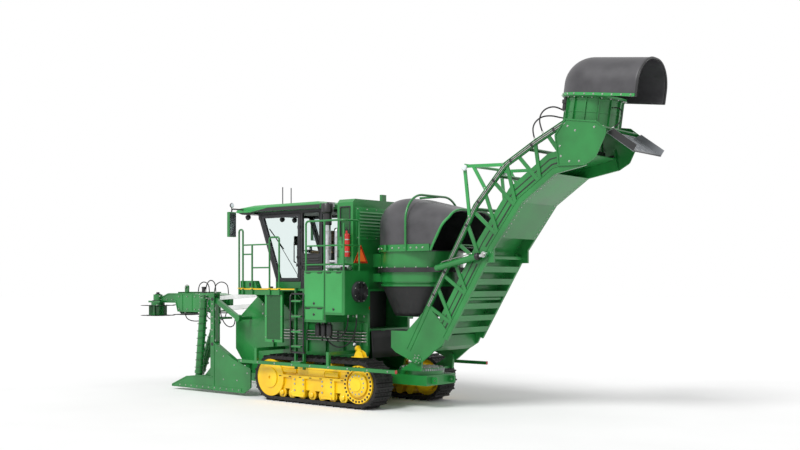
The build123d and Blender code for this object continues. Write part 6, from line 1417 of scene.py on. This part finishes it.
SKIRT = ((1.81, 0.18), (1.81, 0.54), (2.30, 0.70), (2.89, 1.02), (2.89, 0.07), (2.00, 0.07))
SHOE = ((2.94, 0.33), (3.35, 0.33), (3.75, 0.29), (4.215, 0.10), (4.215, 0.07))
PLATE_OUT = 1.03
DIVIDER_PINS_X = (2.25, 2.94)
DIVIDER_LEVELS = {"arm_": (0.62, 0.99), "link_": (1.53, 1.90)}
EDGING = (PLATE_OUT + 0.004, 0.010, 0.022)  # middle, thickness and width of the raised edges


def build_dividers():
    """Edged skirts, wear plates, gussets, scroll motors and cups with bolts, ribs on arms and links."""
    wear = slab([(2.06, 0.075), (4.17, 0.075), (4.10, 0.125), (3.70, 0.15), (2.06, 0.15)], "xz",
                PLATE_OUT - 0.002, 1.040)
    heads = [(at, 1.039, 0.112) for at in np.linspace(2.14, 3.95, 11)]
    heads += [(at, 1.029, z)
              for at, z in ((1.9, 0.46), (2.28, 0.6), (2.6, 0.76), (2.8, 0.86), (2.2, 0.3), (2.6, 0.3))]
    heads += [(2.945, 1.029, z) for z in np.linspace(1.15, 1.8, 6)]
    gussets = [slab([(3.0, 1.87), (3.0, 1.98), (3.12, 1.98)], "xz", y, y + 0.012) for y in (0.90, 0.988)]
    gussets.append(slab([(2.89, 0.34), (2.89, 0.62), (3.0, 0.62), (3.30, 0.34)], "xz", 0.90, 0.915))
    motor = lathe([(0.004, 0), (0.06, 0), (0.06, 0.018), (0.046, 0.022), (0.046, 0.10), (0.052, 0.104),
                   (0.052, 0.125), (0.03, 0.13), (0.004, 0.13)], ORIGIN, UP, 26)
    seats = [(3.29, 0.95, 2.02), (3.29, 0.60, 1.53)]
    caps = [disc(0.034, 0.0, 0.010, (DIVIDER_PINS_X[1], PLATE_OUT, z), LEFT, 20, 0.003)
            for _, z in DIVIDER_LEVELS.values()]
    cups = [ring(0.075, 0.045, -0.05, 0.0, (at, y, z), lean, 28) for at, y, z, lean in
            ((3.45, 0.95, 0.362, (-0.103, 0, 0.995)), (3.62, 0.74, 0.39, (-0.297, -0.126, 0.946)))]
    for side, s in SIDES:
        body = "divider_" + side
        trim = weld(edged(SKIRT, *EDGING), edged(SHOE, *EDGING, loop=False), wear, *gussets, *cups)
        piece("divider_edging_" + side, sided(trim, s), "green_enamel", body, bevel=0.002)
        piece("divider_bolts_" + side, sided(bolts(heads, LEFT, 0.022), s), "zinc_plate", body)
        piece("scroll_motors_" + side, sided(weld(copies(motor, seats), *caps), s), "black_enamel", body)
        for name, level in DIVIDER_LEVELS.items():
            low, high = (np.array(end) for end in zip(DIVIDER_PINS_X, level))
            near, far = (low + (high - low) * share for share in (0.14, 0.86))
            ribs = [bar((near[0], y, near[1]), (far[0], y, far[1]), 0.010, 0.05) for y in (0.988, 0.912)]
            piece("divider_" + name + "ribs_" + side, sided(weld(*ribs), s), "green_enamel", name + side,
                  bevel=0.002)


ROLLERS = {"knockdown": (2.44, 1.24), "fin": (2.13, 0.76)}
CUTTER_AT, CUTTER_TOP = (1.72, 0.30), 0.25


def build_feed():
    """Bolted flute strips on both rollers, and blade bolts and hub caps on the base cutters."""
    for body, (x, z) in ROLLERS.items():
        strips, studs = [], []
        for t in full_turn(6):
            way, square = np.array((cos(t), 0, sin(t))), np.array((-sin(t), 0, cos(t)))
            middle = np.array((x, 0, z)) + way * 0.165
            face = middle + square * 0.013
            strips.append(bar(face - (0, 0.49, 0), face + (0, 0.49, 0), 0.006, 0.046, way))
            studs.append(bolts([face + square * 0.003 + (0, y, 0) for y in np.linspace(-0.44, 0.44, 8)],
                               square, 0.02, 0.01))
        piece(body + "_flute_strips", strips, "worn_steel", body, bevel=0.001)
        piece(body + "_flute_bolts", studs, "zinc_plate", body)
    for side, s in SIDES:
        x, y = CUTTER_AT[0], s * CUTTER_AT[1]
        knives = full_turn(5)
        heads = around((x, y, CUTTER_TOP), 0.215, np.stack([knives + 0.1, knives - 0.1], 1).ravel())
        hub = ring(0.11, 0.068, 0.0, 0.025, (x, y, CUTTER_TOP), UP, 32)
        ribs = [bar((x, y, 0.255), end, 0.02, 0.012) for end in around((x, y, 0.255), 0.22, knives + 0.6)]
        piece("cutter_hub_" + side, [hub, *ribs], "worn_steel", "cutter_" + side)
        piece("cutter_bolts_" + side, bolts(heads, UP, 0.022), "zinc_plate", "cutter_" + side)


# Free hoses

# Columns: name, body, diameter, length, and the left-hand route from one fitting to the other.
# Only the topper's hoses show on both sides.
HOSES = (
    ("topper_loop_hose", "topper", 0.022, 0.81,
     ((3.915, 0.27, 1.94), (3.915, 0.27, 2.06), (3.95, 0.265, 2.2), (4.12, 0.25, 2.26), (4.28, 0.235, 2.2),
      (4.33, 0.23, 2.08), (4.33, 0.23, 1.985))),
    ("topper_slack_hose", "topper", 0.022, 0.90,
     ((4.02, 0.3, 1.61), (4.025, 0.3, 1.53), (4.09, 0.3, 1.44), (4.24, 0.3, 1.4), (4.46, 0.3, 1.4),
      (4.62, 0.3, 1.44), (4.685, 0.3, 1.53), (4.69, 0.3, 1.61))),
    ("head_hose_outer", "elevator", 0.024, 0.84,
     ((-4.47, 0.525, 4.59), (-4.42, 0.525, 4.7), (-4.37, 0.5, 4.86), (-4.41, 0.44, 5), (-4.53, 0.35, 5.06),
      (-4.65, 0.28, 5.01), (-4.73, 0.24, 4.95))),
    ("head_hose_inner", "elevator", 0.024, 0.91,
     ((-4.32, 0.52, 4.5), (-4.27, 0.52, 4.61), (-4.24, 0.47, 4.78), (-4.32, 0.37, 4.91), (-4.45, 0.25, 4.93),
      (-4.57, 0.16, 4.89), (-4.68, 0.12, 4.87))),
    ("flap_hose", "elevator", 0.018, 0.59,
     ((-5.45, 0.16, 4.95), (-5.56, 0.18, 4.95), (-5.65, 0.2, 4.9), (-5.68, 0.22, 4.8), (-5.65, 0.24, 4.7),
      (-5.58, 0.26, 4.64), (-5.51, 0.28, 4.612))),
    ("nose_hose", "link", 0.022, 0.89,
     ((2.345, 0.95, 1.55), (2.345, 0.95, 1.46), (2.39, 0.95, 1.37), (2.51, 0.95, 1.34), (2.64, 0.95, 1.39),
      (2.74, 0.95, 1.51), (2.79, 0.95, 1.65), (2.8, 0.95, 1.8))),
    ("scroll_hose_outer", "divider", 0.022, 0.67,
     ((2.93, 0.95, 2.01), (2.93, 0.95, 2.11), (2.95, 0.95, 2.22), (3.04, 0.95, 2.285), (3.14, 0.95, 2.27),
      (3.21, 0.95, 2.19), (3.235, 0.95, 2.1), (3.25, 0.95, 2.035))),
    ("scroll_hose_inner", "divider", 0.016, 0.50,
     ((2.99, 0.885, 1.78), (3.06, 0.88, 1.775), (3.13, 0.85, 1.73), (3.16, 0.78, 1.66), (3.17, 0.7, 1.6),
      (3.2, 0.64, 1.57), (3.25, 0.6, 1.545))),
    ("tank_hose_low", "chassis", 0.024, 1.53,
     ((-0.8, 0.86, 1.665), (-0.8, 0.86, 1.5), (-0.75, 0.86, 1.29), (-0.6, 0.86, 1.11), (-0.38, 0.86, 1.04),
      (-0.16, 0.86, 1.1), (-0.02, 0.86, 1.25), (0.03, 0.86, 1.4), (0.03, 0.86, 1.525))),
    ("tank_hose_high", "chassis", 0.024, 1.09,
     ((-0.66, 0.93, 1.665), (-0.66, 0.93, 1.54), (-0.61, 0.93, 1.37), (-0.48, 0.93, 1.24), (-0.32, 0.93, 1.2),
      (-0.17, 0.93, 1.26), (-0.08, 0.93, 1.38), (-0.05, 0.93, 1.525))),
)


def build_hoses():
    """Free hydraulic hoses: one smooth curve each, hanging between two crimped fittings."""
    for name, carrier, size, length, route in HOSES:
        for side, s in SIDES if carrier == "topper" else SIDES[:1]:
            body = carrier + "_" + side if carrier in ("link", "divider") else carrier
            points = np.asarray(route) * (1, s, 1)
            curve = bpy.data.curves.new(name, "CURVE")
            curve.dimensions = "3D"
            curve.bevel_depth = size / 2
            curve.bevel_resolution = 3
            curve.use_fill_caps = True
            line = curve.splines.new("NURBS")
            line.points.add(len(points) - 1)
            for knot, place in zip(line.points, points + (SHIFT, 0, 0)):
                knot.co = (*place, 1.0)
            line.order_u = 3
            line.use_endpoint_u = True
            line.resolution_u = 8
            curve.materials.append(finish("hose_rubber"))
            made = bpy.data.objects.new(name + "_" + side, curve)
            bpy.context.scene.collection.objects.link(made)
            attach(made, body)
            ends = [(a, (b - a) / np.linalg.norm(b - a))
                    for a, b in ((points[0], points[1]), (points[-1], points[-2]))]
            crimps = [lathe([(size * 0.4, 0), (size * 0.8, 0), (size * 0.8, 0.02), (size * 0.62, 0.024),
                             (size * 0.62, 0.06), (size * 0.4, 0.06)], place, way, 12) for place, way in ends]
            fitting = piece(name + "_crimps_" + side, crimps, "zinc_plate", body)


# Add-on parts

class HarvesterSizes(bpy.types.PropertyGroup):
    """Light levels that a user would change."""

    key_light: bpy.props.FloatProperty(
        name="Key light", description="Strength of the soft sun from the driver's left", default=2.3, min=0.0)
    sky_light: bpy.props.FloatProperty(
        name="Sky light", description="Strength of the even studio light", default=0.62, min=0.0)


class HARVESTER_OT_stage(bpy.types.Operator):
    """Sets the floor, light and camera."""

    bl_idname = "harvester.stage"
    bl_label = "Stage"

    def execute(self, context):
        set_stage(context.scene.harvester)
        return {"FINISHED"}


class HARVESTER_OT_solids(bpy.types.Operator):
    """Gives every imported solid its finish."""

    bl_idname = "harvester.solids"
    bl_label = "Solids"

    def execute(self, context):
        dress_solids()
        return {"FINISHED"}


class HARVESTER_OT_tracks(bpy.types.Operator):
    """Adds chain links, sprockets, rollers and bolts to both tracks."""

    bl_idname = "harvester.tracks"
    bl_label = "Tracks"

    def execute(self, context):
        build_tracks()
        return {"FINISHED"}


class HARVESTER_OT_scrolls(bpy.types.Operator):
    """Replaces the gathering scrolls by tubes with a continuous flight."""

    bl_idname = "harvester.scrolls"
    bl_label = "Scrolls"

    def execute(self, context):
        build_scrolls()
        return {"FINISHED"}


class HARVESTER_OT_first_hood(bpy.types.Operator):
    """Replaces the first trash hood by a moulded skin and adds the funnel's curtain."""

    bl_idname = "harvester.first_hood"
    bl_label = "First hood"

    def execute(self, context):
        build_first_hood()
        return {"FINISHED"}


class HARVESTER_OT_tail_hood(bpy.types.Operator):
    """Replaces the second trash hood by a moulded skin with flange and bolts."""

    bl_idname = "harvester.tail_hood"
    bl_label = "Tail hood"

    def execute(self, context):
        build_tail_hood()
        return {"FINISHED"}


class HARVESTER_OT_chassis(bpy.types.Operator):
    """Adds ribs, pipes, levelling cylinders, reflectors and a curtain to the chassis."""

    bl_idname = "harvester.chassis"
    bl_label = "Chassis"

    def execute(self, context):
        build_chassis()
        return {"FINISHED"}


class HARVESTER_OT_decks(bpy.types.Operator):
    """Adds tread pattern, edge strips, toe boxes, ladder rails and lamps to the decks."""

    bl_idname = "harvester.decks"
    bl_label = "Decks"

    def execute(self, context):
        build_decks()
        return {"FINISHED"}


class HARVESTER_OT_side_panels(bpy.types.Operator):
    """Adds doors, hinges, caps, filters and grille mesh to the tanks and grilles."""

    bl_idname = "harvester.side_panels"
    bl_label = "Side panels"

    def execute(self, context):
        build_side_panels()
        return {"FINISHED"}


class HARVESTER_OT_cooling(bpy.types.Operator):
    """Adds screens, louvres, grips and a finger guard to the radiator housing and cooler."""

    bl_idname = "harvester.cooling"
    bl_label = "Cooling"

    def execute(self, context):
        build_cooling()
        return {"FINISHED"}


class HARVESTER_OT_exhaust(bpy.types.Operator):
    """Replaces the exhaust by turned pipes and dresses the fire bottle and sign."""

    bl_idname = "harvester.exhaust"
    bl_label = "Exhaust"

    def execute(self, context):
        build_exhaust()
        return {"FINISHED"}


class HARVESTER_OT_cab(bpy.types.Operator):
    """Adds seals, lamps, mirrors, wiper, handle and roof trim."""

    bl_idname = "harvester.cab"
    bl_label = "Cab"

    def execute(self, context):
        build_cab()
        return {"FINISHED"}


class HARVESTER_OT_cabin(bpy.types.Operator):
    """Replaces the plain seat and column by upholstered and moulded ones."""

    bl_idname = "harvester.cabin"
    bl_label = "Cabin"

    def execute(self, context):
        build_cabin()
        return {"FINISHED"}


class HARVESTER_OT_slew(bpy.types.Operator):
    """Adds the turntable's gear and bolts and the lift cylinders' fittings."""

    bl_idname = "harvester.slew"
    bl_label = "Slew"

    def execute(self, context):
        build_slew()
        return {"FINISHED"}


class HARVESTER_OT_elevator(bpy.types.Operator):
    """Replaces the plain slats by folded ones and adds chain, lips, pipes and lamps."""

    bl_idname = "harvester.elevator"
    bl_label = "Elevator"

    def execute(self, context):
        build_elevator()
        return {"FINISHED"}


class HARVESTER_OT_tail(bpy.types.Operator):
    """Adds ribs, motor, edging and bolts to the elevator's head and flap."""

    bl_idname = "harvester.tail"
    bl_label = "Tail"

    def execute(self, context):
        build_tail()
        return {"FINISHED"}


class HARVESTER_OT_topper(bpy.types.Operator):
    """Replaces the plain gathering drums and adds edging, caps and bolts to the topper."""

    bl_idname = "harvester.topper"
    bl_label = "Topper"

    def execute(self, context):
        build_topper()
        return {"FINISHED"}


class HARVESTER_OT_dividers(bpy.types.Operator):
    """Adds edging, wear strips, scroll motors and bolts to the crop dividers."""

    bl_idname = "harvester.dividers"
    bl_label = "Dividers"

    def execute(self, context):
        build_dividers()
        return {"FINISHED"}


class HARVESTER_OT_feed(bpy.types.Operator):
    """Adds flute strips to the feed rollers and hubs and bolts to the base cutters."""

    bl_idname = "harvester.feed"
    bl_label = "Feed"

    def execute(self, context):
        build_feed()
        return {"FINISHED"}


class HARVESTER_OT_hoses(bpy.types.Operator):
    """Adds the free hydraulic hoses as hanging cords."""

    bl_idname = "harvester.hoses"
    bl_label = "Hoses"

    def execute(self, context):
        build_hoses()
        return {"FINISHED"}


OPERATORS = (
    HARVESTER_OT_stage,
    HARVESTER_OT_solids,
    HARVESTER_OT_tracks,
    HARVESTER_OT_scrolls,
    HARVESTER_OT_first_hood,
    HARVESTER_OT_tail_hood,
    HARVESTER_OT_chassis,
    HARVESTER_OT_decks,
    HARVESTER_OT_side_panels,
    HARVESTER_OT_cooling,
    HARVESTER_OT_exhaust,
    HARVESTER_OT_cab,
    HARVESTER_OT_cabin,
    HARVESTER_OT_slew,
    HARVESTER_OT_elevator,
    HARVESTER_OT_tail,
    HARVESTER_OT_topper,
    HARVESTER_OT_dividers,
    HARVESTER_OT_feed,
    HARVESTER_OT_hoses,
)


class HARVESTER_PT_panel(bpy.types.Panel):
    """Lists the harvester's operators and light levels."""

    bl_idname = "HARVESTER_PT_panel"
    bl_label = "Harvester"
    bl_space_type = "VIEW_3D"
    bl_region_type = "UI"
    bl_category = "Harvester"

    def draw(self, context):
        settings = context.scene.harvester
        for name in ("key_light", "sky_light"):
            self.layout.prop(settings, name)
        for kind in OPERATORS:
            self.layout.operator(kind.bl_idname)


CLASSES = (HarvesterSizes, *OPERATORS, HARVESTER_PT_panel)


def register():
    """Registers the classes and hangs the settings on the scene."""
    for kind in CLASSES:
        bpy.utils.register_class(kind)
    bpy.types.Scene.harvester = bpy.props.PointerProperty(type=HarvesterSizes)


def unregister():
    """Takes the settings and classes away again."""
    del bpy.types.Scene.harvester
    for kind in reversed(CLASSES):
        bpy.utils.unregister_class(kind)


def main():
    """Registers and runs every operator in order."""
    register()
    for kind in OPERATORS:
        group, name = kind.bl_idname.split(".")
        getattr(getattr(bpy.ops, group), name)()


if __name__ == "__main__":
    main()
